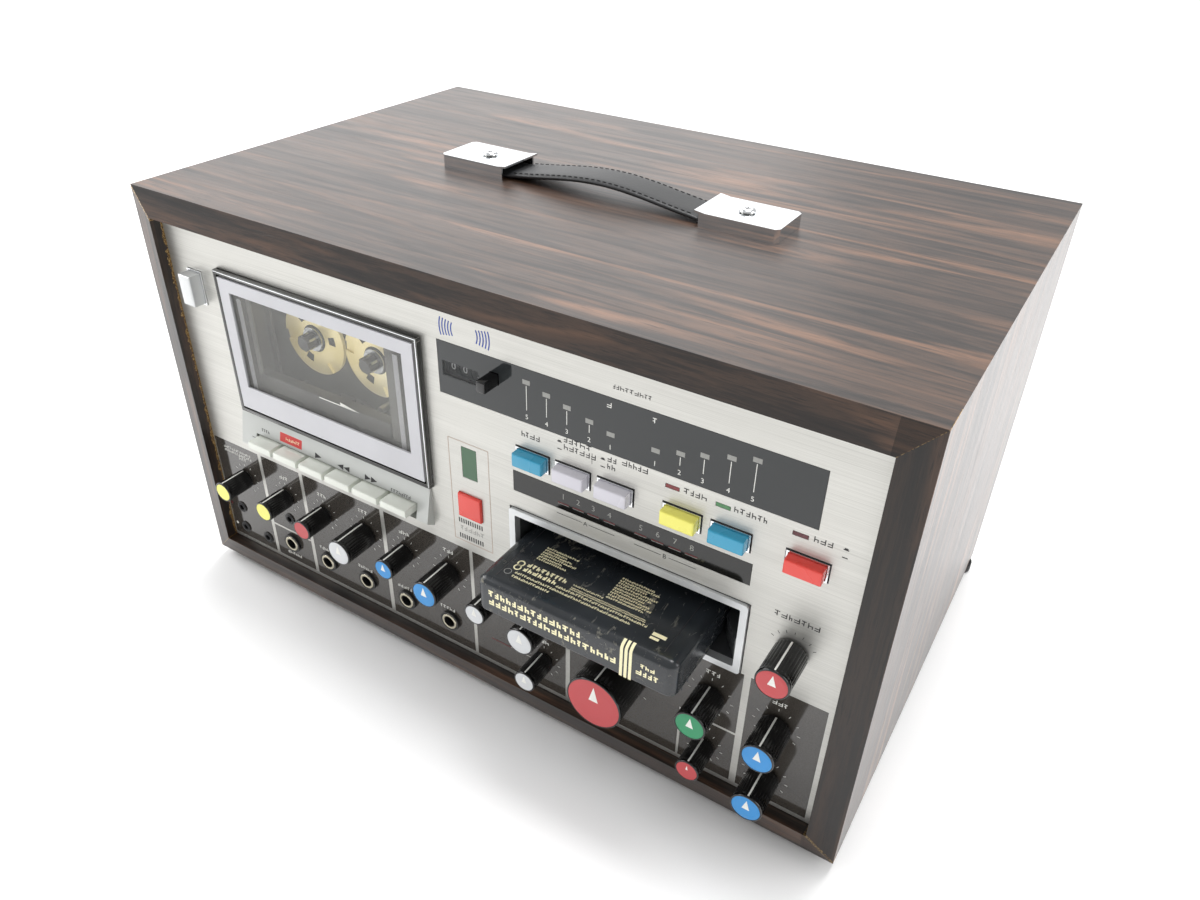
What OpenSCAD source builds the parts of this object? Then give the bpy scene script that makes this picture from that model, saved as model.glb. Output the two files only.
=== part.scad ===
// Table-top 8 track cartridge player with a cassette deck, in a wood-veneered cabinet.
// Millimetres. +X right, +Y to the rear, +Z up. The origin is under the cabinet's centre, on the table.

/* [Cabinet] */
// Overall width of the cabinet
cab_w = 412; // [404:1:440]
// Height of the cabinet without its feet
cab_h = 236; // [230:1:260]
// Depth of the cabinet boards
cab_d = 264; // [250:1:320]
// Thickness of the boards
board_t = 14; // [12:0.5:15]
// How far the outer front edge of a board is set back
edge_bevel = 3.5; // [2:0.5:5]
// Thickness of the hardboard back
back_t = 3; // [2:0.5:5]
// Height of the rubber feet
foot_h = 6; // [4:0.5:10]
// Radius of a rubber foot
foot_r = 9; // [7:0.5:12]
// Distance of the front feet from the cabinet's edges
foot_inset = 24; // [16:1:40]
// How far the rear feet stand out past the sides
rear_foot_over = 1.5; // [0:0.5:3]

/* [Front panel] */
// Recess of the panel behind the cabinet's front
panel_recess = 6.5; // [5:0.5:9]
// Thickness of the panel
panel_t = 2.5; // [2:0.25:4]
// Gap between the panel and the boards
panel_gap = 0.4; // [0.2:0.1:1]
// Clearance of fixed pieces in their openings
fit_gap = 0.2; // [0.15:0.05:0.3]
// Running clearance of a shaft in its bore
run_gap = 0.05; // [0.02:0.01:0.08]
// Clearance round a button
slide_gap = 0.3; // [0.2:0.05:0.5]
// Thickness of the windows and lenses
lens_t = 1; // [0.8:0.1:1.4]

/* [Handle] */
// Distance between the outer ends of the two handle caps
handle_span = 196; // [170:1:240]
// Length of a handle cap
cap_len = 40.5; // [34:0.5:50]
// Width of a handle cap
cap_w = 29; // [26:0.5:34]
// Height of a handle cap
cap_h = 7; // [6:0.5:10]
// Sheet thickness of a handle cap
cap_t = 1; // [0.8:0.1:1.5]
// Width of the strap
strap_w = 23; // [16:0.5:25]
// Thickness of the strap
strap_t = 4; // [3:0.25:4.5]
// Rise of the strap in the middle
strap_rise = 6.5; // [5:0.5:14]

/* [Cassette deck] */
// Left side of the deck opening
well_x0 = -155; // [-160:0.5:-150]
// Right side of the deck opening
well_x1 = -20.7; // [-24:0.1:-18]
// Bottom of the deck opening above the cabinet's underside
well_z0 = 119.5; // [118:0.5:122]
// Top of the deck opening above the cabinet's underside
well_z1 = 202.5; // [200:0.5:206]
// Wall of the deck's tub
well_wall = 2; // [1.6:0.1:2.6]
// Depth of the tub behind the panel's face
well_depth = 20; // [19:0.5:24]
// How far the rim stands out of the panel
rim_out = 3; // [2.5:0.1:4]
// Thickness of the door's frame
door_t = 3; // [2.6:0.1:3.4]
// Gap between the door and the rim
door_gap = 0.8; // [0.6:0.1:1.2]
// Width of the door frame beside and above the window
door_border = 7; // [5:0.5:9]
// Width of the door frame below the window
door_foot = 14; // [11:0.5:17]
// Distance between the two reel spindles
reel_pitch = 42.5; // [42.5:0.1:44]
// Radius of a reel table
reel_r = 20.5; // [18:0.25:20.75]
// Height of the reel centres above the cabinet's underside
reel_z = 167.3; // [166:0.5:169]
// Rise of the head bridge when it plays
bridge_rise = 6; // [4:0.5:6]

/* [Keys] */
// Number of piano keys
key_n = 6; // [4:1:6]
// Distance between keys
key_pitch = 19.25; // [18.5:0.05:19.4]
// Width of a key
key_w = 16.9; // [14:0.1:17.4]
// Left side of the first key
key_x0 = -144.6; // [-146:0.1:-143]
// Underside of the keys above the cabinet's underside
key_z0 = 102.3; // [101.5:0.1:103]
// Thickness of a key
key_t = 4.3; // [3.5:0.1:5]
// How far the keys stand out of the panel
key_out = 11.2; // [9:0.1:14]
// Length of a key lever behind the panel's face
key_back = 53.5; // [45:0.5:56]
// Turn of a pressed key in degrees
key_turn = 4; // [2:0.5:4]
// Left and right ends of the sloped key bezel
bezel_x = [-157.5, -22.7];
// Bottom and top of the sloped key bezel above the cabinet's underside
bezel_z = [94.8, 118.6];
// How far the bezel stands out at its bottom
bezel_out = 5.2; // [4:0.1:6]

/* [Cartridge] */
// Width of the cartridge
cart_w = 101.6; // [100:0.1:102]
// Length of the cartridge
cart_l = 133; // [130:0.5:136]
// Thickness of the cartridge
cart_t = 20.3; // [18:0.1:22]
// How far the inserted cartridge stands out of the panel
cart_out = 34; // [30:0.5:42]
// Left side of the cartridge slot
slot_x0 = 29.4; // [29:0.1:31]
// Width of the cartridge slot
slot_w = 115.2; // [114:0.1:117]
// Bottom of the cartridge slot above the cabinet's underside
slot_z0 = 91.5; // [91:0.1:94]
// Height of the cartridge slot
slot_h = 33; // [29:0.1:34]
// Width of the chrome slot frame
slot_rim = 3.3; // [2.5:0.1:3.8]
// Clearance under and beside the cartridge
cart_gap = 0.5; // [0.3:0.1:1]

/* [Controls] */
// Radius of the small knobs
knob_r_small = 6.1; // [5:0.1:7]
// Radius of the large knobs
knob_r_large = 7.7; // [7:0.1:9]
// Radius of the volume knob
knob_r_volume = 14.7; // [12:0.1:16]
// Length of the small knobs
knob_l_small = 17; // [14:0.5:20]
// Length of the large knobs
knob_l_large = 20; // [16:0.5:24]
// Length of the volume knob
knob_l_volume = 22; // [18:0.5:26]
// Radius of the control shafts
shaft_r = 3; // [2.5:0.1:3]
// Gap between a knob and the panel
knob_gap = 0.8; // [0.5:0.1:2]
// Outer width of a push button frame
button_w = 18; // [16:0.1:20]
// Outer height of a push button frame
button_h = 9.1; // [8:0.1:11]
// Width of the rim of a push button frame
button_rim = 0.9; // [0.6:0.1:1.2]
// How far the push buttons stand out
button_out = 5.5; // [4:0.5:8]
// Travel of the push buttons
button_travel = 4; // [2:0.5:5]
// Radius of the large jack bores
jack_r = 3.2; // [3.15:0.05:3.3]
// Radius of the small jack bores
mini_r = 1.8; // [1.75:0.05:1.85]

/* [Drive] */
// Radius of the cartridge flywheel
fly_r = 34; // [30:0.5:36]
// Radius of the motor pulley
pulley_r = 5; // [4:0.25:6]
// Distance between motor and flywheel
belt_span = 62; // [54:0.5:64]
// Radius of the capstan
capstan_r = 2; // [1.5:0.1:2.5]

/* [Hidden] */
e = 0.01;
base_z = foot_h;
cab_cz = base_z + cab_h / 2;
screw_head_t = 1.3;
ahead = cart_out - panel_recess;
front_y = ahead - (ahead + cab_d + screw_head_t) / 2;
back_y = front_y + cab_d;
cab_cy = (front_y + back_y) / 2;
panel_y = front_y + panel_recess;
panel_back = panel_y + panel_t;
in_w = cab_w - 2 * board_t;
in_z0 = base_z + board_t;
in_z1 = base_z + cab_h - board_t;
top_z = base_z + cab_h;
floor_t = 1.5;
floor_z = in_z0 + 0.3 + floor_t;

// The panel's layout is written for this cabinet. Deck and slot keep their sizes, and a change of the
// cabinet is shared by the free margins beside, between, under and above them.
draw_w = 412;
draw_h = 236;
grow_w = cab_w - draw_w;
grow_h = cab_h - draw_h;
function px(x) = x + grow_w * lookup(x, [
  [-draw_w / 2 + board_t, -0.5], [well_x0, -0.225], [well_x1, -0.225],
  [slot_x0, 0.148], [slot_x0 + slot_w, 0.148], [draw_w / 2 - board_t, 0.5]
]);
function pz(h) = h + grow_h * lookup(h, [[76, 0], [89, 0.45], [207, 0.45], [draw_h - board_t, 1]]);
function area(w) = [px(w[0]), pz(w[1]), px(w[2]), pz(w[3])];
deck_x0 = px(well_x0);
deck_x1 = px(well_x1);
deck_z0 = pz(well_z0);
deck_z1 = pz(well_z1);
mouth_x0 = px(slot_x0);
mouth_z0 = pz(slot_z0);
keys_x0 = px(key_x0);
keys_z0 = pz(key_z0);
wedge_x = [px(bezel_x[0]), px(bezel_x[1])];
wedge_z = [pz(bezel_z[0]), pz(bezel_z[1])];

// handle
cap_x = handle_span / 2 - cap_len;
cap_hole = handle_span / 2 - cap_len / 2 - 2;
head_r = 3.4;
screw_r = 1.5;

// deck: the tub stands in the panel's opening, and the door stands in the tub
tub_x = [deck_x0 + fit_gap, deck_x1 - fit_gap];
tub_z = [base_z + deck_z0 + fit_gap, base_z + deck_z1 - fit_gap];
tub_in_x = [tub_x[0] + well_wall, tub_x[1] - well_wall];
tub_in_z = [tub_z[0] + well_wall, tub_z[1] - well_wall];
tub_front = panel_y - rim_out;
tub_floor = panel_y + well_depth;
door_x = [tub_in_x[0] + door_gap, tub_in_x[1] - door_gap];
door_z = [tub_in_z[0] + 1.5, tub_in_z[1] - door_gap - 0.5];
door_front = tub_front - 0.3;
door_back = door_front + door_t;
pin_r = 1.4;
hinge_y = door_back;
hinge_z = door_z[0] + 2.2;
win_x = [door_x[0] + door_border, door_x[1] - door_border];
win_z = [door_z[0] + door_foot, door_z[1] - door_border];
win_lap = 2;
reel_cx = (tub_x[0] + tub_x[1]) / 2 - 2.4;
reel_h = base_z + pz(reel_z);
rail_x = 50.2 + 0.8;
table_t = 2;
bridge_z = tub_in_z[0] + 1.2;
bridge_l = 34;
bridge_r = 17;
cas_cap_x = reel_cx + 26.3;
cas_cap_z = reel_h - 24.8;
cas_fly_r = 23;

// keys
pivot_y = panel_y + key_back;
pivot_z = base_z + keys_z0 + key_t / 2;
rod_r = 2;
key_x1 = keys_x0 + (key_n - 1) * key_pitch + key_w;
key_drop = (key_back + bezel_out) * sin(key_turn);
key_slot = [base_z + keys_z0 - key_drop - 0.6, base_z + keys_z0 + key_t + 1];

// cartridge
cart_x0 = mouth_x0 + 1.8;
cart_z0 = base_z + mouth_z0 + cart_gap;
cart_y0 = panel_y - cart_out;
cart_y1 = cart_y0 + cart_l;
guide_t = 2;
guide_back = cart_y1 + 12;
cap_xc = mouth_x0 + 30;
cap_yc = cart_y1 + 1.5 + capstan_r;
fly_z = base_z + 44;
fly_h = 12;

// knobs: x, height of the axis above the cabinet's underside, size class, and colour of the cap
KNOBS = [
  [-168.5, 66.2, 0, "khaki"], [-135.1, 66.2, 0, "khaki"], [-105.1, 66.2, 0, "tomato"],
  [-74.2, 66.6, 1, "white"], [-45.3, 66.6, 0, "steelblue"], [-15.2, 66.6, 1, "steelblue"],
  [14.5, 66.2, 0, "white"], [44.1, 66.6, 1, "silver"], [44.1, 36.3, 0, "silver"],
  [87.6, 52.6, 2, "tomato"], [135.7, 66.1, 1, "seagreen"], [135.5, 32.3, 0, "tomato"],
  [168.4, 112.2, 1, "tomato"], [167.7, 66.1, 1, "steelblue"], [166.6, 32.1, 1, "steelblue"]
];
pot_bore = 7.7;
function kx(i) = px(KNOBS[i][0]);
function kz(i) = base_z + pz(KNOBS[i][1]);
function kr(i) = [knob_r_small, knob_r_large, knob_r_volume][KNOBS[i][2]];
function kl(i) = [knob_l_small, knob_l_large, knob_l_volume][KNOBS[i][2]];

// buttons: x and height of the centre, cap width, cap height, how far it stands out, stem radius
meter_x = px(-11.5) + 11.5;
cap_bw = button_w - 2 * button_rim - 2 * slide_gap;
cap_bh = button_h - 2 * button_rim - 2 * slide_gap;
B_SELECT = [px(39.4), pz(159), cap_bw, cap_bh, button_out, 2];
B_TYPE = [px(60.6), pz(159), cap_bw, cap_bh, button_out, 2];
B_SIDE = [px(82), pz(159), cap_bw, cap_bh, button_out, 2];
B_CUE = [px(113.7), pz(159), cap_bw, cap_bh, button_out, 2];
B_START = [px(135.6), pz(159), cap_bw, cap_bh, button_out, 2];
B_POWER = [px(168), pz(159), cap_bw, cap_bh, button_out, 2];
B_AUTO = [px(2), pz(116.7), 13.6, 13.6, 1.6, 3];
B_EJECT = [px(-173.6), pz(187.2), 8.4, 16.8, 7.5, 2.5];
B_RESET = [meter_x + 19.7, pz(193.9), 4.3, 5.3, 10, 1.2];
FRAMED = [B_SELECT, B_TYPE, B_SIDE, B_CUE, B_START, B_POWER, B_EJECT];
BUTTONS = concat(FRAMED, [B_AUTO, B_RESET]);
block_wall = 1.6;
stem_l = 9;
block_l = 2 + button_travel + 1 + stem_l;

// jacks: x and height of the axis
JACKS = [for (p = [[-137.2, 31.3], [-107.5, 31], [-77, 31.3], [-47.4, 31.7], [-16.9, 32.1]]) [px(p[0]), pz(p[1])]];
MINIS = [for (p = [[-179.6, 40], [-180, 24.6], [-160.3, 24.8], [-136.4, 49.4]]) [px(p[0]), pz(p[1])]];
LINE_SOCKETS = [for (i = [0:3]) [px(-150) + i * 16, 44]];
INLET = [px(137) - 11, base_z + 34, px(137) + 11, base_z + 50];
jack_ring = 6;
jack_l = 26;
mini_ring = 3.6;
mini_l = 14;

// windows and lenses: x0, z0, x1, z1 with heights above the cabinet's underside
METER = area([-11.5, 177.2, 169.7, 203.9]);
PROGRAM = area([28.4, 138, 146.3, 149.1]);
GREEN = area([-1.6, 133.5, 6.9, 150.8]);
LEDS = [for (x = [108.4, 131, 163.4]) [px(x) - 3.1, pz(171), px(x) + 3.1, pz(172.7)]];
LENSES = concat([METER, PROGRAM, GREEN], LEDS);
COUNTER = [meter_x - 9.4, pz(186.6), meter_x + 11.4, pz(194.4)];
drum_r = 8;
drum_y = panel_back + drum_r + 1;
drum_z = base_z + (COUNTER[1] + COUNTER[3]) / 2;
drum_w = 6;
drum_gap = 0.7;
counter_x = (COUNTER[0] + COUNTER[2]) / 2;
ear_x = 12.6;

// ---- shared shapes ----

// box between two corners
module span(a, b) {
  translate(a) cube(b - a);
}

// cylinder along +Y from a point
module rod_y(p, r, l, fn = 48) {
  translate(p) rotate([-90, 0, 0]) cylinder(r = r, h = l, $fn = fn);
}

// cylinder along +X from a point
module rod_x(p, r, l, fn = 48) {
  translate(p) rotate([0, 90, 0]) cylinder(r = r, h = l, $fn = fn);
}

// profile of Y and Z, run along X from x0 to x1
module run_x(x0, x1) {
  translate([x0, 0, 0]) rotate([90, 0, 90]) linear_extrude(x1 - x0) children();
}

// profile of X and Z, run along Y from y0 to y1
module run_y(y0, y1) {
  translate([0, y1, 0]) rotate([90, 0, 0]) linear_extrude(y1 - y0) children();
}

// upright plate with round corners, standing on its X-Z face, from y0 to y1
module round_plate(x0, z0, x1, z1, r, y0, y1) {
  span([x0 + r, y0, z0], [x1 - r, y1, z1]);
  span([x0, y0, z0 + r], [x1, y1, z1 - r]);
  for (x = [x0 + r, x1 - r], z = [z0 + r, z1 - r]) rod_y([x, y0, z], r, y1 - y0);
}

// opening of a rectangle in a plate
module window_cut(w, y0, y1, grow = 0) {
  span([w[0] - grow, y0, base_z + w[1] - grow], [w[2] + grow, y1, base_z + w[3] + grow]);
}

// ---- cabinet ----

// one board of the carcass: its outer face is at the given reach, its ends are mitred
module mitred_board(len, reach) {
  intersection() {
    run_x(-len / 2, len / 2) polygon([
      [front_y, reach - board_t], [front_y + edge_bevel, reach], [back_y, reach], [back_y, reach - board_t]
    ]);
    run_y(front_y - 1, back_y + 1) polygon([
      [-len / 2, reach], [len / 2, reach], [len / 2 - board_t, reach - board_t], [-len / 2 + board_t, reach - board_t]
    ]);
  }
}

module cabinet_top() {
  color("saddlebrown") difference() {
    translate([0, 0, cab_cz]) mitred_board(cab_w, cab_h / 2);
    for (s = [-1, 1]) translate([s * cap_hole, cab_cy, top_z - 9]) cylinder(r = screw_r + run_gap, h = 10, $fn = 24);
  }
}

module cabinet_carcass() {
  color("saddlebrown") {
    translate([0, 0, cab_cz]) rotate([0, 180, 0]) mitred_board(cab_w, cab_h / 2);
    for (a = [-90, 90]) translate([0, 0, cab_cz]) rotate([0, a, 0]) mitred_board(cab_h, cab_w / 2);
  }
}

REAR_SCREWS = [for (x = [-1, 0, 1], s = [-1, 1]) [x * (in_w / 2 - 12), cab_cz + s * (in_z1 - in_z0) / 2 - s * 9]];

module rear_panel() {
  color("dimgray") difference() {
    span([-in_w / 2 + panel_gap, back_y - back_t, in_z0 + panel_gap], [in_w / 2 - panel_gap, back_y, in_z1 - panel_gap]);
    for (i = [0:13]) span([px(-130) + i * 9, back_y - back_t - 1, cab_cz + 10], [px(-130) + i * 9 + 4, back_y + 1, cab_cz + 74]);
    for (p = REAR_SCREWS) rod_y([p[0], back_y - back_t - 1, p[1]], screw_r + run_gap, back_t + 2, 24);
    for (p = LINE_SOCKETS) rod_y([p[0], back_y - back_t - 1, base_z + p[1]], 4.2, back_t + 2, 32);
    span([INLET[0] - fit_gap, back_y - back_t - 1, INLET[1] - fit_gap], [INLET[2] + fit_gap, back_y + 1, INLET[3] + fit_gap]);
  }
}

module foot(x, y) {
  translate([x, y, 0]) rotate_extrude($fn = 48)
    polygon([[3, 0], [foot_r - 1, 0], [foot_r, 1], [foot_r, foot_h], [1.6, foot_h], [1.6, 2.5], [3, 2.5]]);
}

module rubber_feet() {
  color("black") for (s = [-1, 1]) {
    foot(s * (cab_w / 2 - foot_inset), front_y + foot_inset);
    foot(s * (cab_w / 2 - foot_r + rear_foot_over), back_y - foot_r - 1);
  }
}

// ---- handle ----

module bracket() {
  x1 = handle_span / 2;
  difference() {
    union() {
      linear_extrude(cap_h) polygon([
        [cap_x, -cap_w / 2], [x1 - 2, -cap_w / 2], [x1, -cap_w / 2 + 2], [x1, cap_w / 2 - 2], [x1 - 2, cap_w / 2], [cap_x, cap_w / 2]
      ]);
      run_y(-cap_w / 2, cap_w / 2) polygon([
        [cap_x - 2.5, cap_h + 0.8], [cap_x - 2.5, cap_h - 0.2], [cap_x + 3, cap_h - cap_t], [cap_x + 3, cap_h]
      ]);
    }
    span([cap_x - 1, -cap_w / 2 + cap_t, -1], [x1 - cap_t - 1, cap_w / 2 - cap_t, cap_h - cap_t]);
    translate([cap_hole, 0, cap_h - cap_t - 1]) cylinder(r = screw_r + run_gap, h = cap_t + 2, $fn = 24);
    translate([cap_hole, 0, cap_h - 0.5]) cylinder(r = head_r + 0.4, h = 1, $fn = 32);
  }
}

module handle_brackets() {
  color("silver") translate([0, cab_cy, top_z]) {
    bracket();
    mirror([1, 0, 0]) bracket();
  }
}

strap_foot = 0.4;
arch_half = cap_x - 1;
arch_R = (pow(arch_half, 2) + pow(strap_rise, 2)) / (2 * strap_rise);
arch_a = asin(arch_half / arch_R);

// the arched grip is a slice of a ring about a cross axis, with flat slotted ends in the caps
module handle_strap() {
  color("#222222") translate([0, cab_cy, 0]) {
    translate([0, 0, top_z + strap_foot + strap_rise - arch_R]) rotate([90, 0, 0])
      rotate([0, 0, 90 - arch_a]) rotate_extrude(angle = 2 * arch_a, $fn = 360) translate([arch_R, 0]) polygon([
        [0, -strap_w / 2], [strap_t * 0.6, -strap_w / 2], [strap_t * 0.75, -strap_w / 2 + 3],
        [strap_t, -strap_w / 2 + 6], [strap_t, strap_w / 2 - 6], [strap_t * 0.75, strap_w / 2 - 3],
        [strap_t * 0.6, strap_w / 2], [0, strap_w / 2]
      ]);
    for (s = [-1, 1]) difference() {
      translate([s * (arch_half + 14) - 15, -strap_w / 2, top_z + strap_foot]) cube([30, strap_w, strap_t * 0.6]);
      translate([s * cap_hole - 6, -screw_r - 0.4, top_z]) cube([12, 2 * screw_r + 0.8, strap_t * 2]);
    }
  }
}

// ---- fasteners ----

// cross-head screw along -Z, its head's underside at the origin
module screw(l, hr = head_r, hh = screw_head_t) {
  difference() {
    rotate_extrude($fn = 32) polygon([[0, -l], [screw_r, -l], [screw_r, 0], [hr, 0], [hr * 0.8, hh], [0, hh]]);
    for (a = [0, 90]) rotate([0, 0, a]) translate([-hr * 0.5, -0.35, hh - 0.7]) cube([hr, 0.7, 1]);
  }
}

module screws() {
  color("gainsboro") {
    for (s = [-1, 1]) translate([s * cap_hole, cab_cy, top_z + cap_h - 0.5]) rotate([0, 0, 20 * s]) screw(cap_h + 6);
    for (p = REAR_SCREWS) translate([p[0], back_y, p[1]]) rotate([-90, 0, 0]) screw(back_t);
  }
}

// ---- chassis ----

module post(x, y, z, r = 3) {
  translate([x, y, floor_z - floor_t]) cylinder(r = r, h = z - floor_z + floor_t, $fn = 24);
}

board_z = floor_z + 6;
guide_z = base_z + mouth_z0 - guide_t;
BOARD = [px(-172), back_y - 124, px(-58), back_y - 20];

module chassis() {
  color("lightgray") difference() {
    union() {
      span([-in_w / 2 + 4, panel_back + 0.3, floor_z - floor_t], [in_w / 2 - 4, back_y - back_t - 6, floor_z]);
      // side brackets with flanges against the panel
      for (s = [-1, 1]) {
        translate([s * (in_w / 2 - 4.75) - 0.75, panel_back, floor_z - e]) cube([1.5, 58, 40]);
        translate([s * (in_w / 2 - 4.75) - (s > 0 ? 1.25 : 0.75), panel_back, floor_z - e]) cube([2, 1.5, in_z1 - floor_z - 36.2]);
      }
      // ears of the key rod and the rod
      for (x = [keys_x0 - 5.5, key_x1 + 3.5]) span([x, pivot_y - 8, floor_z - e], [x + 2, pivot_y + 8, pivot_z + 6]);
      rod_x([keys_x0 - 4.5, pivot_y, pivot_z], rod_r, key_x1 - keys_x0 + 9, 32);
      // posts of the cartridge guide
      for (x = [mouth_x0 + 2, mouth_x0 + slot_w - 2], y = [panel_back + 18, cart_y1 - 30]) post(x, y, guide_z, 3);
      // bearing of the capstan and posts of the main board
      post(cap_xc, cap_yc, fly_z - 2, 6);
      for (x = [BOARD[0] + 6, BOARD[2] - 6], y = [BOARD[1] + 6, BOARD[3] - 6]) post(x, y, board_z, 3);
    }
    translate([cap_xc, cap_yc, floor_z]) cylinder(r = shaft_r + run_gap, h = 100, $fn = 32);
  }
}

// ---- front ----

module slot_cut(y0, y1, grow) {
  round_plate(mouth_x0 - grow, base_z + mouth_z0 - grow, mouth_x0 + slot_w + grow, base_z + mouth_z0 + slot_h + grow, 0.8 + grow * 0.25, y0, y1);
}

module front_panel() {
  y0 = panel_y - 1;
  y1 = panel_back + 1;
  color("whitesmoke") difference() {
    span([-in_w / 2 + panel_gap, panel_y, in_z0 + panel_gap], [in_w / 2 - panel_gap, panel_back, in_z1 - panel_gap]);
    span([deck_x0, y0, base_z + deck_z0], [deck_x1, y1, base_z + deck_z1]);
    span([keys_x0 - 1.5, y0, key_slot[0]], [key_x1 + 1.5, y1, key_slot[1]]);
    slot_cut(y0, y1, slot_rim + 0.5);
    for (b = FRAMED) button_cut(b, y0, y1, button_rim + slide_gap);
    for (b = [B_AUTO, B_RESET]) button_cut(b, y0, y1, slide_gap);
    for (w = LENSES) window_cut(w, y0, panel_y + lens_t, fit_gap);
    window_cut(COUNTER, y0, y1);
    for (i = [0:len(KNOBS) - 1]) rod_y([kx(i), y0, kz(i)], shaft_r + 1.5, panel_t + 2, 32);
    for (p = JACKS) rod_y([p[0], y0, base_z + p[1]], jack_r + 1.6, panel_t + 2, 32);
    for (p = MINIS) rod_y([p[0], y0, base_z + p[1]], mini_r + 1, panel_t + 2, 32);
  }
}

module panel_lenses() {
  for (i = [0:len(LENSES) - 1]) color(["gray", "dimgray", "seagreen", "darkred", "seagreen", "darkred"][i]) difference() {
    window_cut(LENSES[i], panel_y, panel_y + lens_t);
    button_cut(B_RESET, panel_y - 1, panel_y + lens_t + 1, slide_gap);
  }
}

module button_cut(b, y0, y1, grow) {
  span([b[0] - b[2] / 2 - grow, y0, base_z + b[1] - b[3] / 2 - grow], [b[0] + b[2] / 2 + grow, y1, base_z + b[1] + b[3] / 2 + grow]);
}

module chrome_frames() {
  color("silver") {
    difference() {
      slot_cut(panel_y - 1.6, panel_back, slot_rim);
      slot_cut(panel_y - 3, panel_back + 1, 0);
    }
    for (b = FRAMED) difference() {
      button_cut(b, panel_y - 0.8, panel_back, slide_gap + button_rim - fit_gap);
      button_cut(b, panel_y - 2, panel_back + 1, slide_gap);
    }
  }
}

// ---- cartridge mechanism ----

module cartridge_guide() {
  z0 = base_z + mouth_z0;
  z1 = z0 + slot_h;
  x1 = mouth_x0 + slot_w;
  color("#303030") {
    difference() {
      union() {
        span([mouth_x0 - guide_t, panel_back, z0 - guide_t], [x1 + guide_t, guide_back, z1 + guide_t]);
        span([mouth_x0 - 5.5, panel_back, z0 - 5.5], [x1 + 5.5, panel_back + 1.5, z1 + 5.5]);
      }
      span([mouth_x0, panel_back - 1, z0], [x1, guide_back + 1, z1]);
      span([cap_xc - 8, cart_y1 - 6, z0 - 5], [cap_xc + 8, guide_back + 1, z0 + 1]);
    }
    // left rib and right side rail with its lead-in ramp
    span([mouth_x0 - e, panel_back, z0 - e], [cart_x0 - cart_gap, cart_y1, z0 + cart_t * 0.6]);
    run_z(z0 - e, z0 + cart_t * 0.6) polygon([
      [x1 + e, panel_back], [x1 - 2, panel_back], [cart_x0 + cart_w + cart_gap, panel_back + 12],
      [cart_x0 + cart_w + cart_gap, cart_y1], [x1 + e, cart_y1]
    ]);
    // playback head on its block behind the cartridge
    span([cap_xc + 16, cart_y1 + 3, z0 - e], [cap_xc + 34, guide_back - 1, z0 + 14]);
    span([cap_xc + 20, cart_y1 + 0.6, z0 + 3], [cap_xc + 30, cart_y1 + 3 + e, z0 + 12]);
  }
}

// profile of X and Y, run along Z
module run_z(z0, z1) {
  translate([0, 0, z0]) linear_extrude(z1 - z0) children();
}

// moulded cartridge: round front corners, ribs on top, side notches, tape mouth at the inner end
module cartridge() {
  x0 = cart_x0;
  x1 = cart_x0 + cart_w;
  z1 = cart_z0 + cart_t;
  r = 4;
  color("#2b2f33") difference() {
    union() {
      run_z(cart_z0, z1) union() {
        translate([x0, cart_y0 + r]) square([cart_w, cart_l - r]);
        translate([x0 + r, cart_y0]) square([cart_w - 2 * r, cart_l]);
        for (x = [x0 + r, x1 - r]) translate([x, cart_y0 + r]) circle(r = r, $fn = 32);
      }
    }
    // step of the label field and grip grooves in the top
    span([x0 + 9, cart_y0 + 14, z1 - 0.6], [x1 - 9, cart_y0 + 84, z1 + 1]);
    for (x = [x0 + 3, x1 - 5]) span([x, cart_y0 + 16, z1 - 0.8], [x + 2, cart_y1 - 30, z1 + 1]);
    // parting groove round the sides and front
    for (x = [x0 - 1, x1 - 0.5]) span([x, cart_y0 + 8, cart_z0 + 6.2], [x + 1.5, cart_y1 - 8, cart_z0 + 7]);
    span([x0 + 6, cart_y0 - 1, cart_z0 + 6.2], [x1 - 6, cart_y0 + 0.5, cart_z0 + 7]);
    // side notches near the front
    for (x = [x0 - 1, x1 - 2.2]) span([x, cart_y0 + 7, cart_z0 - 1], [x + 3.2, cart_y0 + 12, z1 - 5]);
    // mouths for capstan, head and sensing foil in the inner end
    span([cap_xc - 9, cart_y1 - 7, cart_z0 - 1], [cap_xc + 9, cart_y1 + 1, z1 - 3.5]);
    span([cap_xc + 15, cart_y1 - 4, cart_z0 + 3], [cap_xc + 35, cart_y1 + 1, z1 - 3.5]);
    span([cap_xc + 44, cart_y1 - 4, cart_z0 + 3], [cap_xc + 60, cart_y1 + 1, z1 - 3.5]);
  }
}

module capstan_flywheel() {
  color("gray") translate([cap_xc, cap_yc, 0]) rotate_extrude($fn = 96) polygon([
    [0, floor_z + 0.3], [shaft_r, floor_z + 0.3], [shaft_r, fly_z - 1], [9, fly_z - 1], [9, fly_z + 2],
    [fly_r - 6, fly_z + 2], [fly_r - 6, fly_z], [fly_r, fly_z], [fly_r, fly_z + fly_h], [fly_r - 6, fly_z + fly_h],
    [fly_r - 6, fly_z + fly_h - 3], [9, fly_z + fly_h - 3], [9, fly_z + fly_h + 3], [shaft_r, fly_z + fly_h + 3],
    [shaft_r, guide_z - 3], [capstan_r, guide_z - 3], [capstan_r, cart_z0 + cart_t - 5], [0, cart_z0 + cart_t - 5]
  ]);
}

mot_x = cap_xc + belt_span;
mot_r = 16;

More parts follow.
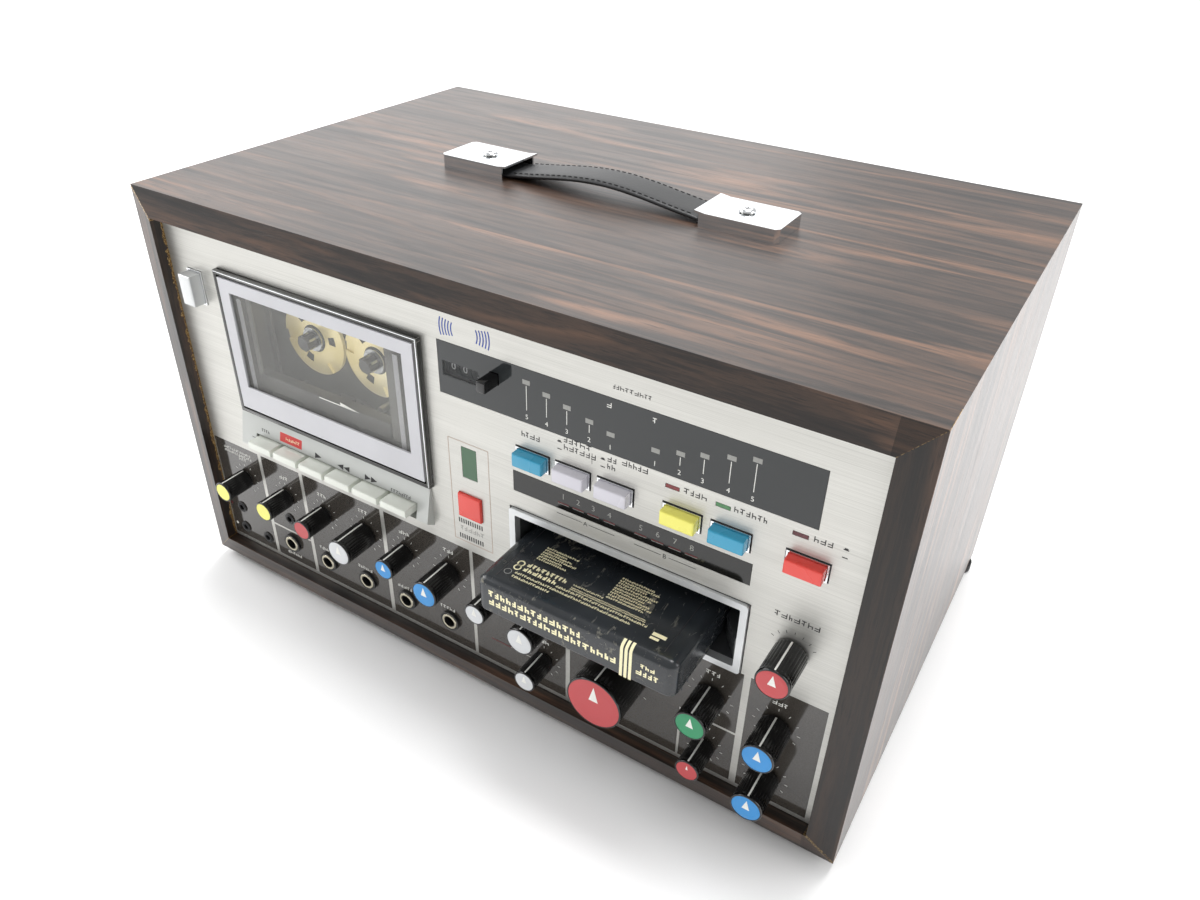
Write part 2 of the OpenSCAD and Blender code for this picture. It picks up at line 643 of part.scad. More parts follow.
module motor_pulley() {
  color("goldenrod") translate([mot_x, cap_yc, 0]) rotate_extrude($fn = 48) polygon([
    [0, fly_z - 22], [1.5, fly_z - 22], [1.5, fly_z], [pulley_r + 1, fly_z], [pulley_r + 1, fly_z + 1.5],
    [pulley_r, fly_z + 2.5], [pulley_r, fly_z + fly_h - 2.5], [pulley_r + 1, fly_z + fly_h - 1.5],
    [pulley_r + 1, fly_z + fly_h], [0, fly_z + fly_h]
  ]);
}

module drive_motors() {
  color("silver") {
    difference() {
      translate([mot_x, cap_yc, 0]) rotate_extrude($fn = 64) polygon([
        [0, floor_z], [mot_r, floor_z], [mot_r, fly_z - 6], [mot_r - 1.5, fly_z - 4.5], [5, fly_z - 4.5], [5, fly_z - 1], [0, fly_z - 1]
      ]);
      translate([mot_x, cap_yc, fly_z - 22.3]) cylinder(r = 1.5 + run_gap, h = 30, $fn = 24);
    }
    // cassette motor behind its flywheel
    difference() {
      rod_y([cas_cap_x, tub_floor + well_wall + 14.5, cas_cap_z], 14, 30, 64);
      rod_y([cas_cap_x, tub_floor + well_wall + 13.5, cas_cap_z], capstan_r + 1 + run_gap, 10, 24);
    }
  }
}

// loop round two wheels with parallel axes: tangent points from the difference of the radii
function loop_pts(r1, r2, d, n = 40) =
  let (a = acos((r1 - r2) / d))
  concat(
    [for (i = [0:n]) let (t = a + i * (360 - 2 * a) / n) [r1 * cos(t), r1 * sin(t)]],
    [for (i = [0:n]) let (t = -a + i * 2 * a / n) [d + r2 * cos(t), r2 * sin(t)]]
  );

module drive_belt() {
  color("#151515") translate([cap_xc, cap_yc, fly_z + 3.4]) linear_extrude(fly_h - 6.8) difference() {
    polygon(loop_pts(fly_r + 1.3, pulley_r + 1.3, belt_span));
    polygon(loop_pts(fly_r + 0.3, pulley_r + 0.3, belt_span));
  }
}

// ---- cassette mechanism ----

module cassette_well() {
  color("#454545") {
    difference() {
      span([tub_x[0], tub_front, tub_z[0]], [tub_x[1], tub_floor + well_wall, tub_z[1]]);
      span([tub_in_x[0], tub_front - 1, tub_in_z[0]], [tub_in_x[1], tub_floor, tub_in_z[1]]);
      rod_x([tub_x[0] - 1, hinge_y, hinge_z], pin_r + run_gap, tub_x[1] - tub_x[0] + 2, 24);
      for (s = [-1, 1]) rod_y([reel_cx + s * reel_pitch / 2, tub_floor - 1, reel_h], shaft_r + run_gap, 10, 32);
      rod_y([cas_cap_x, tub_floor - 1, cas_cap_z], capstan_r + run_gap, 10, 24);
    }
    // bearing bosses of the reel tables
    for (s = [-1, 1]) difference() {
      rod_y([reel_cx + s * reel_pitch / 2, tub_floor + well_wall - e, reel_h], 5.5, 5, 32);
      rod_y([reel_cx + s * reel_pitch / 2, tub_floor, reel_h], shaft_r + run_gap, 10, 32);
    }
    // upright guides of the head bridge
    for (x = [reel_cx - bridge_l - fit_gap - 2, reel_cx + bridge_r + fit_gap])
      span([x, tub_floor - 3, bridge_z - 0.5], [x + 2, tub_floor + e, bridge_z + 8 + bridge_rise]);
  }
}

// table with a notched rim, a chrome hub ring and a splined spindle
module reel_table(s) {
  x = reel_cx + s * reel_pitch / 2;
  difference() {
    union() {
      rod_y([x, tub_floor - 0.3 - table_t, reel_h], reel_r, table_t, 96);
      rod_y([x, tub_floor - 0.3 - table_t - 1.5, reel_h], 6.6, 1.5 + e, 48);
      rod_y([x, tub_floor - 0.3 - table_t - 8, reel_h], 3.6, 8, 48);
      for (a = [0:60:300]) translate([x, tub_floor - 0.3 - table_t - 7, reel_h]) rotate([0, a, 0])
        translate([-0.6, 0, 0]) cube([1.2, 7, 4.7]);
      rod_y([x, tub_floor - 0.4, reel_h], shaft_r, well_wall + 5.5, 32);
    }
    for (a = [30, 150, 270]) translate([x, tub_floor - 0.3 - table_t - 1, reel_h]) rotate([0, a + 8 * s, 0])
      translate([-2.8, 0, 14.5]) cube([5.6, 2.1, 9]);
  }
}

module reel_table_left() {
  color("goldenrod") reel_table(-1);
}

module reel_table_right() {
  color("goldenrod") reel_table(1);
}

// sliding bridge between its guides: a shaped plate with the head, the erase head's block and a roller
module head_bridge() {
  y1 = tub_floor - 0.3;
  z0 = bridge_z;
  color("#202020") {
    run_y(y1 - 2, y1) polygon([
      [reel_cx - bridge_l, z0], [reel_cx + bridge_r, z0], [reel_cx + bridge_r, z0 + 11], [reel_cx + 8, z0 + 15],
      [reel_cx - 8, z0 + 15], [reel_cx - 16, z0 + 12], [reel_cx - bridge_l, z0 + 8]
    ]);
    span([reel_cx - 7, y1 - 9, z0 + 5], [reel_cx + 7, y1 - 2 + e, z0 + 15 - e]);
    span([reel_cx - 4, y1 - 8, z0 + 14], [reel_cx + 4, y1 - 3, z0 + 17]);
    span([reel_cx - 32, y1 - 8, z0 + e], [reel_cx - 20, y1 - 2 + e, z0 + 7]);
    rod_y([reel_cx + 13, y1 - 10, z0 + 8], 3, 8 + e, 32);
  }
}

module cassette_flywheel() {
  color("gray") {
    translate([cas_cap_x, tub_floor - 8, cas_cap_z]) rotate([-90, 0, 0]) rotate_extrude($fn = 96) polygon([
      [0, 0], [capstan_r, 0], [capstan_r, 8 + well_wall + 6], [cas_fly_r - 5, 8 + well_wall + 6],
      [cas_fly_r - 5, 8 + well_wall + 5.5], [cas_fly_r, 8 + well_wall + 5.5], [cas_fly_r, 8 + well_wall + 12],
      [cas_fly_r - 5, 8 + well_wall + 12], [cas_fly_r - 5, 8 + well_wall + 9], [capstan_r + 1, 8 + well_wall + 9],
      [capstan_r + 1, 8 + well_wall + 22], [0, 8 + well_wall + 22]
    ]);
  }
}

// door frame with its holder rails and hinge pins
module cassette_door() {
  color("lavender") {
    difference() {
      span([door_x[0], door_front, door_z[0]], [door_x[1], door_back, door_z[1]]);
      span([win_x[0], door_front - 1, win_z[0]], [win_x[1], door_back + 1, win_z[1]]);
      span([win_x[0] - win_lap, door_front + 1, win_z[0] - win_lap], [win_x[1] + win_lap, door_back + 1, win_z[1] + win_lap]);
    }
    for (s = [-1, 1]) {
      x = s < 0 ? door_x[0] : door_x[1];
      span([min(x, x - 4 * s), hinge_y - 1, door_z[0]], [max(x, x - 4 * s), hinge_y + 2, hinge_z + 2.2]);
      rod_x([s < 0 ? x - door_gap - well_wall : x - 1, hinge_y, hinge_z], pin_r, 1 + door_gap + well_wall, 24);
      // holder rail with its hook
      xr = reel_cx + s * rail_x;
      span([min(xr, xr + 3 * s), door_back - e, win_z[0] + 1], [max(xr, xr + 3 * s), tub_floor - 5, win_z[1] - 4]);
      span([min(xr + 3 * s, xr - 3 * s), tub_floor - 6.5, win_z[0] + 1], [max(xr + 3 * s, xr - 3 * s), tub_floor - 5, win_z[1] - 4]);
    }
    // foot rail that carries the rails
    span([reel_cx - rail_x - 3, door_back - e, win_z[0] - 8], [reel_cx + rail_x + 3, door_back + 1.5, win_z[0] - 3]);
    for (s = [-1, 1]) {
      xr = reel_cx + s * rail_x;
      span([min(xr, xr + 3 * s), door_back - e, win_z[0] - 8], [max(xr, xr + 3 * s), tub_floor - 5, win_z[0] + 1 + e]);
    }
  }
}

module door_window() {
  g = fit_gap;
  color([0.5, 0.5, 0.52, 0.5]) span(
    [win_x[0] - win_lap + g, door_front + 1 + g, win_z[0] - win_lap + g],
    [win_x[1] + win_lap - g, door_back - g, win_z[1] + win_lap - g]);
}

// ---- keys ----

module key_bezel() {
  z0 = base_z + wedge_z[0];
  z1 = base_z + wedge_z[1];
  color("silver") difference() {
    run_x(wedge_x[0], wedge_x[1]) polygon([
      [panel_y, z0], [panel_y, z1], [panel_y - 0.9, z1], [panel_y - bezel_out, z0 + 4.4], [panel_y - bezel_out, z0 + 3.6]
    ]);
    span([keys_x0 - 1.5, panel_y - 20, key_slot[0]], [key_x1 + 1.5, panel_y + 1, key_slot[1]]);
  }
}

// key: rounded finger end, lever and pivot boss with its bore
module key(i) {
  x0 = keys_x0 + i * key_pitch;
  z0 = base_z + keys_z0;
  z1 = z0 + key_t;
  y0 = panel_y - key_out;
  color("ivory") difference() {
    union() {
      run_x(x0, x0 + key_w) polygon([
        [y0, z0 + 0.4], [y0 + 0.4, z0], [panel_y + 4, z0], [panel_y + 4, z1 - 0.6], [y0 + 1, z1], [y0, z1 - 1]
      ]);
      span([x0 + 3, panel_y + 4 - e, z0], [x0 + key_w - 3, pivot_y, z0 + 2]);
      rod_x([x0 + 3, pivot_y, pivot_z], rod_r + 2, key_w - 6, 32);
    }
    rod_x([x0, pivot_y, pivot_z], rod_r + run_gap, key_w, 32);
  }
}

// ---- buttons ----

// button cap with chamfered face, and its stem
module button(b) {
  w = b[2] / 2;
  h = b[3] / 2;
  c = 0.5;
  y0 = panel_y - b[4];
  translate([b[0], 0, base_z + b[1]]) {
    intersection() {
      span([-w, y0, -h], [w, panel_back + 2, h]);
      run_x(-w, w) polygon([
        [y0, -h + c], [y0 + c, -h], [panel_back + 2, -h], [panel_back + 2, h], [y0 + c, h], [y0, h - c]
      ]);
      run_z(-h, h) polygon([
        [-w + c, y0], [w - c, y0], [w, y0 + c], [w, panel_back + 2], [-w, panel_back + 2], [-w, y0 + c]
      ]);
    }
    rod_y([0, panel_back + 2 - e, 0], b[5], stem_l, 32);
  }
}

// switch housing behind a button: pocket for the cap and bore for the stem
module switch_block(b) {
  g = slide_gap;
  difference() {
    button_cut(b, panel_back, panel_back + block_l + 2, g + block_wall);
    button_cut(b, panel_back - 1, panel_back + 2 + button_travel + 1, g);
    rod_y([b[0], panel_back, base_z + b[1]], b[5] + run_gap, block_l, 32);
  }
}

// ---- rotary controls ----

module pot(i) {
  r = KNOBS[i][2] == 0 ? 7.5 : 8.5;
  difference() {
    union() {
      rod_y([kx(i), panel_back, kz(i)], r, 11, 48);
      rod_y([kx(i), panel_y - 3, kz(i)], shaft_r + 1.3, panel_t + 4, 32);
      span([kx(i) - 6, panel_back + 4, kz(i) - r - 3], [kx(i) + 6, panel_back + 6, kz(i)]);
    }
    rod_y([kx(i), panel_y - 4, kz(i)], shaft_r + run_gap, 4 + panel_t + pot_bore + 0.3, 32);
  }
}

module control_blocks() {
  color("darkslategray") {
    for (i = [0:len(KNOBS) - 1]) pot(i);
    for (b = BUTTONS) switch_block(b);
    // counter frame: two ears, a bridge and the axle
    for (s = [-1, 1]) translate([counter_x + s * ear_x - 0.6, panel_back, drum_z - 7]) cube([1.2, 19, 14]);
    span([counter_x - ear_x, panel_back + 18, drum_z - 7], [counter_x + ear_x, panel_back + 19, drum_z + 7]);
    rod_x([counter_x - ear_x, drum_y, drum_z], 1.5, 2 * ear_x, 24);
  }
}

// ring of flutes: every third point of the outline is drawn in
function flute_pts(r, d, n) = [for (i = [0:n - 1]) let (a = i * 360 / n) (i % 3 < 2 ? r : r - d) * [cos(a), sin(a)]];

// fluted knob on its shaft, hollow at the back round the nut, with a face disc
module knob(i) {
  r = kr(i);
  l = kl(i);
  n = 3 * round(8 + r);
  translate([kx(i), panel_y - knob_gap, kz(i)]) rotate([90, 0, 0]) {
    color("#181818") difference() {
      union() {
        linear_extrude(l - 2) polygon(flute_pts(r - 0.15, 0.4, n));
        translate([0, 0, l - 2.2]) cylinder(r = r, h = 1.8, $fn = 64);
      }
      translate([0, 0, -1]) cylinder(r = shaft_r + 2, h = 5, $fn = 48);
    }
    color(KNOBS[i][3]) translate([0, 0, l - 0.5]) cylinder(r = r - 0.4, h = 0.5, $fn = 64);
    color("silver") translate([0, 0, -knob_gap - panel_t - pot_bore]) cylinder(r = shaft_r, h = knob_gap + panel_t + pot_bore + 6, $fn = 32);
  }
}

// ---- jacks ----

module jack(p, bore, ring, out, body, l) {
  z = base_z + p[1];
  difference() {
    union() {
      rod_y([p[0], panel_y - out, z], ring, out, 48);
      rod_y([p[0], panel_y - e, z], bore + (bore > 2.5 ? 1.4 : 0.8), panel_t + 1, 32);
      span([p[0] - body / 2, panel_back, z - body / 2], [p[0] + body / 2, panel_back + l, z + body / 2]);
    }
    rod_y([p[0], panel_y - out - 1, z], bore, l - 1, 32);
  }
}

module jack_sockets() {
  color("darkkhaki") {
    for (p = JACKS) jack(p, jack_r, jack_ring, 1.8, 14, jack_l);
    for (p = MINIS) jack(p, mini_r, mini_ring, 0.6, 9, mini_l);
    // line sockets and the power inlet in the back
    for (p = LINE_SOCKETS) translate([p[0], back_y - back_t - 9, base_z + p[1]]) rotate([-90, 0, 0]) rotate_extrude($fn = 32)
      polygon([[0, 0], [4, 0], [4, back_t + 9], [5.5, back_t + 9], [5.5, back_t + 10.2], [1.6, back_t + 10.2], [1.6, 3], [0, 3]]);
    difference() {
      union() {
        span([INLET[0], back_y - 22, INLET[1]], [INLET[2], back_y + 1, INLET[3]]);
        span([INLET[0] - 2, back_y, INLET[1] - 2], [INLET[2] + 2, back_y + 1.2, INLET[3] + 2]);
      }
      span([INLET[0] + 3, back_y - 14, INLET[1] + 3], [INLET[2] - 3, back_y + 2, INLET[3] - 3]);
    }
  }
}

// ---- electronics ----

module power_transformer() {
  x = px(128);
  y = back_y - 58;
  color("slategray") {
    translate([x - 28, y - 22, floor_z]) cube([56, 44, 3]);
    translate([x - 26, y - 12, floor_z + 3 - e]) cube([52, 24, 42]);
    translate([x - 15, y - 20, floor_z + 3 - e]) cube([30, 40, 34]);
  }
}

module circuit_boards() {
  y0 = panel_back + jack_l + 0.3;
  color("darkgreen") {
    // upright board behind the microphone jacks
    span([px(-150), y0, in_z0 + 8], [px(-4), y0 + 1.6, in_z0 + 66]);
    for (i = [0:6]) span([px(-140) + i * 18, y0 + 1.6 - e, in_z0 + 40], [px(-140) + i * 18 + 9, y0 + 5, in_z0 + 54]);
    // main board on its posts, with capacitors and a heat sink
    span([BOARD[0], BOARD[1], board_z], [BOARD[2], BOARD[3], board_z + 1.6]);
    for (i = [0:3]) translate([BOARD[0] + 18 + i * 20, BOARD[1] + 22, board_z + 1.6 - e]) cylinder(r = 7, h = 26, $fn = 32);
    span([BOARD[0] + 12, BOARD[3] - 14, board_z + 1.6 - e], [BOARD[2] - 12, BOARD[3] - 11, board_z + 34]);
    for (i = [0:8]) span([BOARD[0] + 14 + i * 10, BOARD[3] - 11 - e, board_z + 3], [BOARD[0] + 15.5 + i * 10, BOARD[3] - 2, board_z + 34]);
  }
}

module counter_wheels() {
  color("dimgray") difference() {
    union() {
      for (i = [-1:1]) rod_x([counter_x + i * (drum_w + drum_gap) - drum_w / 2, drum_y, drum_z], drum_r, drum_w, 64);
      rod_x([counter_x - ear_x + 1, drum_y, drum_z], 3.5, 2 * ear_x - 2, 32);
    }
    rod_x([counter_x - ear_x, drum_y, drum_z], 1.5 + run_gap, 2 * ear_x, 24);
  }
}

// ---- named pieces ----

cabinet_top();
cabinet_carcass();
rear_panel();
rubber_feet();
handle_brackets();
handle_strap();
screws();
chassis();
front_panel();
panel_lenses();
chrome_frames();
cartridge_guide();
cartridge();
jack_sockets();
control_blocks();
cassette_well();
cassette_door();
door_window();
key_bezel();
reel_table_left();
reel_table_right();
head_bridge();
cassette_flywheel();
capstan_flywheel();
drive_motors();
motor_pulley();
drive_belt();
power_transformer();
circuit_boards();
counter_wheels();
key(0);  // key_stop
key(1);  // key_record
key(2);  // key_play
key(3);  // key_rewind
key(4);  // key_forward
key(5);  // key_pause
color("deepskyblue") button(B_SELECT);  // button_select
color("gainsboro") button(B_TYPE);  // button_tape_type
color("gainsboro") button(B_SIDE);  // button_side
color("khaki") button(B_CUE);  // button_cue
color("deepskyblue") button(B_START);  // button_start
color("tomato") button(B_POWER);  // button_power
color("tomato") button(B_AUTO);  // button_auto
color("silver") button(B_EJECT);  // button_eject
color("#222222") button(B_RESET);  // button_reset
knob(0);  // knob_yellow_left
knob(1);  // knob_yellow_right
knob(2);  // knob_red_small
knob(3);  // knob_white_large
knob(4);  // knob_blue_small
knob(5);  // knob_blue_large
knob(6);  // knob_white_small
knob(7);  // knob_silver_large
knob(8);  // knob_silver_small
knob(9);  // knob_volume
knob(10);  // knob_green
knob(11);  // knob_red_low
knob(12);  // knob_tape_speed
knob(13);  // knob_blue_upper
knob(14);  // knob_blue_lower
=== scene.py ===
"""Table-top 8 track player with a cassette deck: the finished looks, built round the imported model.

Everything is in metres in the model's own frame: +X right, +Y to the rear, +Z up. The panel's
layout is given on a grid of U, with heights counted from the cabinet's underside.
"""
import math

import bmesh
import bpy
import numpy as np
from mathutils import Matrix, Vector


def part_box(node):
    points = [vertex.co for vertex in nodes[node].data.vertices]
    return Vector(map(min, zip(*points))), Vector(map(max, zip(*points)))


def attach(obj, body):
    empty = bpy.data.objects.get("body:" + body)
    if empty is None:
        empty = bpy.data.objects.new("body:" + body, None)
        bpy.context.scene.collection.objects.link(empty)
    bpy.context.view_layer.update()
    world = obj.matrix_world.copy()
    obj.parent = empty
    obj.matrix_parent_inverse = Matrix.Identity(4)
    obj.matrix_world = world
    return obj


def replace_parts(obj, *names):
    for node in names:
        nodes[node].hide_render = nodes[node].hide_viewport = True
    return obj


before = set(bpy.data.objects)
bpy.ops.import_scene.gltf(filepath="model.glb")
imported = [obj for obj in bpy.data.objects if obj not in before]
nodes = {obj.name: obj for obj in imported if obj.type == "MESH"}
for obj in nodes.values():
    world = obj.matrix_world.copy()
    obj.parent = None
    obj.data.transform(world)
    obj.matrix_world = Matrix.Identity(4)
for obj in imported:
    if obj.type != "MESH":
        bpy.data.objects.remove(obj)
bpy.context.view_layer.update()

MM = 0.001
U = 4.12 * MM  # one step of the panel's grid
FOOT = 6 * MM
CAB_HALF = 206 * MM
CAB_HIGH = 236 * MM
CAB_TOP = FOOT + CAB_HIGH


def corners(node):
    low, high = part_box(node)
    return np.array(low), np.array(high)


PY = corners("front_panel")[0][1]
FRONT = corners("cabinet_top")[0][1]


def show(obj):
    """Puts a new object in the scene."""
    bpy.context.scene.collection.objects.link(obj)


# ---- camera

def set_camera():
    """Pinhole at the place and turn that make the cabinet's corners fall where the photograph has them."""
    data = bpy.data.cameras.new("camera")
    data.sensor_width = 36.0
    data.lens = 943.11 / 1200 * data.sensor_width
    data.shift_x = -0.00104
    data.shift_y = -0.00608
    data.clip_start = 0.01
    cam = bpy.data.objects.new("camera", data)
    right = Vector((0.84948, 0.52708, 0.02390))
    up = Vector((-0.30839, 0.45925, 0.83306))
    ahead = Vector((-0.42811, 0.71504, -0.55267))
    turn = Matrix((right, up, -ahead)).transposed().to_4x4()
    cam.matrix_world = Matrix.Translation((0.24124, -0.39113, 0.40230)) @ turn
    show(cam)
    bpy.context.scene.camera = cam


set_camera()


# ---- finishes

def srgb(r, g, b):
    """Linear colour of an 8-bit display colour."""
    c = np.array([r, g, b]) / 255
    lin = np.where(c <= 0.04045, c / 12.92, ((c + 0.055) / 1.055) ** 2.4)
    return (*lin.tolist(), 1.0)


class Value:
    """A shader socket in an expression: each operator adds its Math node."""

    def __init__(self, finish, socket):
        self.finish = finish
        self.socket = socket

    def _math(self, op, *args):
        return self.finish.add("Math", {"operation": op}, *args)

    def __add__(self, o): return self._math("ADD", self, o)
    def __radd__(self, o): return self._math("ADD", o, self)
    def __sub__(self, o): return self._math("SUBTRACT", self, o)
    def __rsub__(self, o): return self._math("SUBTRACT", o, self)
    def __mul__(self, o): return self._math("MULTIPLY", self, o)
    def __rmul__(self, o): return self._math("MULTIPLY", o, self)
    def __gt__(self, o): return self._math("GREATER_THAN", self, o)
    def __lt__(self, o): return self._math("LESS_THAN", self, o)
    def __abs__(self): return self._math("ABSOLUTE", self)
    def top(self, o): return self._math("MAXIMUM", self, o)
    def root(self): return self._math("SQRT", self)
    def wave(self): return self._math("SINE", self)

    def between(self, a, b):
        """1 inside the interval, 0 outside."""
        return (self > a) * (self < b)

    def fade(self, a, b):
        """0 at a rising to 1 at b."""
        return self.finish.add("MapRange", {"clamp": True}, self, a, b, 0.0, 1.0)


class Finish:
    """One material, written as expressions on the place of a point in the object."""

    def __init__(self, name, **fixed):
        self.mat = bpy.data.materials.new(name)
        self.mat.use_nodes = True
        self.tree = self.mat.node_tree
        self.bsdf = self.tree.nodes["Principled BSDF"]
        coord = self.tree.nodes.new("ShaderNodeTexCoord")
        self.place = Value(self, coord.outputs["Object"])
        xyz = self.tree.nodes.new("ShaderNodeSeparateXYZ")
        self.tree.links.new(coord.outputs["Object"], xyz.inputs[0])
        self.x, self.y, self.z = (Value(self, xyz.outputs[i]) for i in range(3))
        for key, value in fixed.items():
            self.set(key.replace("_", " ").title().replace("Ior", "IOR"), value)

    def add(self, kind, settings, *values, out=0, **named):
        """Adds a node: its settings, then values or links for its sockets, in order or by name."""
        node = self.tree.nodes.new("ShaderNode" + kind)
        for key, value in settings.items():
            setattr(node, key, value)
        pairs = list(zip(node.inputs, values)) + [(node.inputs[k], v) for k, v in named.items()]
        for socket, value in pairs:
            self._put(socket, value)
        return Value(self, node.outputs[out])

    def _put(self, socket, value):
        if value is None:
            return
        if isinstance(value, Value):
            self.tree.links.new(value.socket, socket)
        else:
            socket.default_value = value

    def set(self, socket, value):
        self._put(self.bsdf.inputs[socket], value)

    def stretched(self, *factors):
        """The object's own place with each axis multiplied by its factor."""
        return self.add("Mapping", {}, self.place, Scale=factors)

    def noise_at(self, at, scale, detail, rough=0.5, warp=0.0):
        return self.add("TexNoise", {}, Vector=at, Scale=scale, Detail=detail, Roughness=rough,
                        Distortion=warp)

    def noise(self, stretch=(1, 1, 1), scale=1.0, detail=3.0, rough=0.5, warp=0.0):
        """Fractal noise on the object's own place, stretched along each axis."""
        return self.noise_at(self.stretched(*stretch), scale, detail, rough, warp)

    def ramp(self, value, *stops):
        """Colour ramp: stops are (position, 8-bit colour)."""
        node = self.tree.nodes.new("ShaderNodeValToRGB")
        els = node.color_ramp.elements
        while len(els) < len(stops):
            els.new(0.5)
        for el, (pos, col) in zip(els, stops):
            el.position = pos
            el.color = srgb(*col)
        self._put(node.inputs[0], value)
        return Value(self, node.outputs[0])

    def mix(self, fac, a, b):
        """Colour mix from a to b."""
        node = self.tree.nodes.new("ShaderNodeMix")
        node.data_type = "RGBA"
        for i, v in ((0, fac), (6, a), (7, b)):
            self._put(node.inputs[i], v)
        return Value(self, node.outputs[2])

    def relief(self, height, depth=0.0002, strength=0.5):
        """Bump from a height map."""
        self.set("Normal", self.add("Bump", {}, strength, depth, Height=height))


def board_foil(name, grain, coat, gloss):
    """Printed wood foil: three sizes of noise drawn out along the grain give the broad warm figure, the
    bands and the pores. The bottom board has its grain along X, the sides along Z. The front faces get
    painted shade, deeper on the right, the top's front arris is worn pale, and raw chipboard shows next
    to the panel, in two chipped corners and as thin lines at the mitres."""
    m = Finish(name, IOR=1.45, coat_ior=1.5, coat_roughness=gloss)
    along, across = 10.0, 170.0
    up = m.z - FOOT
    aside = CAB_HALF - abs(m.x)
    below = CAB_TOP - m.z
    at = m.stretched(along, across, across)
    if grain == "z":
        at = m.mix(up < aside, m.stretched(across, across, along), at)
    slow = m.noise_at(at, 0.33, 3.0, 0.55, 1.6)
    band = m.noise_at(at, 1.1, 5.0, 0.62, 0.8)
    fine = m.noise_at(at, 6.0, 3.0, 0.7)
    mixed = band * 0.48 + fine * 0.27 + slow * 0.25
    dark = m.ramp(mixed, (0.38, (22, 18, 17)), (0.47, (44, 34, 29)), (0.54, (70, 52, 41)),
                  (0.62, (34, 27, 24)))
    figure = m.ramp(mixed, (0.38, (56, 41, 33)), (0.50, (128, 93, 70)), (0.62, (70, 51, 40)))
    tint = m.mix(slow.fade(0.52, 0.68) * 0.8, dark, figure)
    pores = fine.fade(0.60, 0.68)
    tint = m.mix(pores * 0.6, tint, srgb(15, 12, 11))
    grit = m.noise(scale=1400.0, detail=2.0)
    raw = m.ramp(grit, (0.38, (52, 36, 20)), (0.5, (150, 112, 58)), (0.62, (206, 172, 108)))
    joint = abs(aside - below) < 0.2 * MM
    ahead = m.y < (PY + 1 * MM)
    on_right = m.x > 190 * MM
    if grain == "z":
        joint = joint.top(abs(aside - up) < 0.26 * MM)
        ragged = m.noise(scale=260.0)
        edge = (abs(abs(m.x) - 192 * MM) < 0.2 * MM) * (m.y > (PY - 3.4 * MM + ragged * 0.0046))
        drop = below - aside
        top_chip = drop.between(-0.2 * MM, 2.2 * MM) * (drop < ragged * 0.0034) * (m.x < -190 * MM)
        low_chip = (abs(aside - up) < ragged * 0.0022) * on_right * (m.z < 24 * MM)
        chips = (top_chip * (m.z > 220 * MM)).top(low_chip)
        tint = m.mix(edge.top(chips * ahead), tint, raw)
    tint = m.mix(joint * (m.y < -100 * MM) * 0.75, tint, raw)
    # painted shade: the front faces and the faces in front of the panel are darkened towards near black, more
    # on the right, for the shade they sit in
    face = ahead * (m.z < (CAB_TOP - 0.2 * MM)) * (abs(m.x) < (CAB_HALF - 0.2 * MM))
    right_front_shade = face * on_right
    tint = m.mix(face * 0.30 + right_front_shade * 0.38, tint, srgb(8, 6, 5))
    worn = (m.z > (CAB_TOP - 0.5 * MM)) * (m.y < (FRONT + 0.5 * MM)) * grit.fade(0.5, 0.6)
    tint = m.mix(worn * 0.8, tint, srgb(196, 178, 164))
    m.set("Base Color", tint)
    m.set("Roughness", 0.34 + fine * 0.22)
    m.set("Coat Weight", (coat + slow * 0.1) * (1 - face * 0.7 - right_front_shade * 0.25) * (0.55 + band * 0.9))
    m.relief(fine + pores * -0.8, 0.00014, 0.4)
    return m.mat


def cut(m, x0, x1, z0, z1):
    """1 inside a rectangle of the panel's grid."""
    return m.x.between(x0 * U, x1 * U) * m.z.between(z0 * U + FOOT, z1 * U + FOOT)


def brushed_panel():
    """Brushed aluminium with the control strip printed on it: dark gloss cells parted by bare metal lines."""
    m = Finish("panel_brushed")
    streak = m.noise((14, 1, 5200), 1.0, 2.0, 0.6)
    slow = m.noise((3, 1, 160), 1.0, 3.0)
    cells = [(-46.3, -37.5), (-36.9, -29.5), (-28.9, -14.9), (-14.25, -0.3), (0.2, 13.9), (14.5, 36.4),
             (37.2, 45.75)]
    dark = 0.0
    for x0, x1 in cells:
        dark = cut(m, x0, x1, 4.1, 21.4) + dark
    for bare in ((-36.9, -29.5, 9.45, 9.75), (29.7, 36.4, 11.75, 12.05), (29.45, 29.75, 4.1, 12.05)):
        dark = dark * (1 - cut(m, *bare))
    dark = dark * (m.y < PY + 0.1 * MM)
    metal = m.ramp(streak * 0.75 + slow * 0.25, (0.30, (176, 175, 170)), (0.5, (192, 191, 186)),
                   (0.72, (206, 205, 200)))
    speck = m.noise(scale=2600.0, detail=1.0)
    ink = m.ramp(speck, (0.4, (56, 52, 48)), (0.7, (70, 66, 61)))
    m.set("Base Color", m.mix(dark, metal, ink))
    m.set("Metallic", (1 - dark) * 0.8)
    m.set("Roughness", (1 - dark) * (0.37 + streak * 0.10) + dark * 0.09)
    m.set("IOR", 1.7)
    m.relief(streak * (1 - dark), 0.00003, 0.35)
    return m.mat


def metal(name, colour, rough, scale=900.0, dirt=0.1, bump=0.1):
    """Bare or plated metal: fine grain, faint smears in the gloss."""
    m = Finish(name, metallic=1.0)
    g = m.noise(scale=scale, detail=2.0)
    smear = m.noise(scale=45.0, detail=4.0)
    dark = tuple(c * (1 - dirt) for c in colour[:3]) + (1.0,)
    m.set("Base Color", m.mix(smear.fade(0.35, 0.7), colour, dark))
    m.set("Roughness", rough + smear * 0.08 + g * 0.04)
    m.relief(g, 0.00003, bump)
    return m.mat


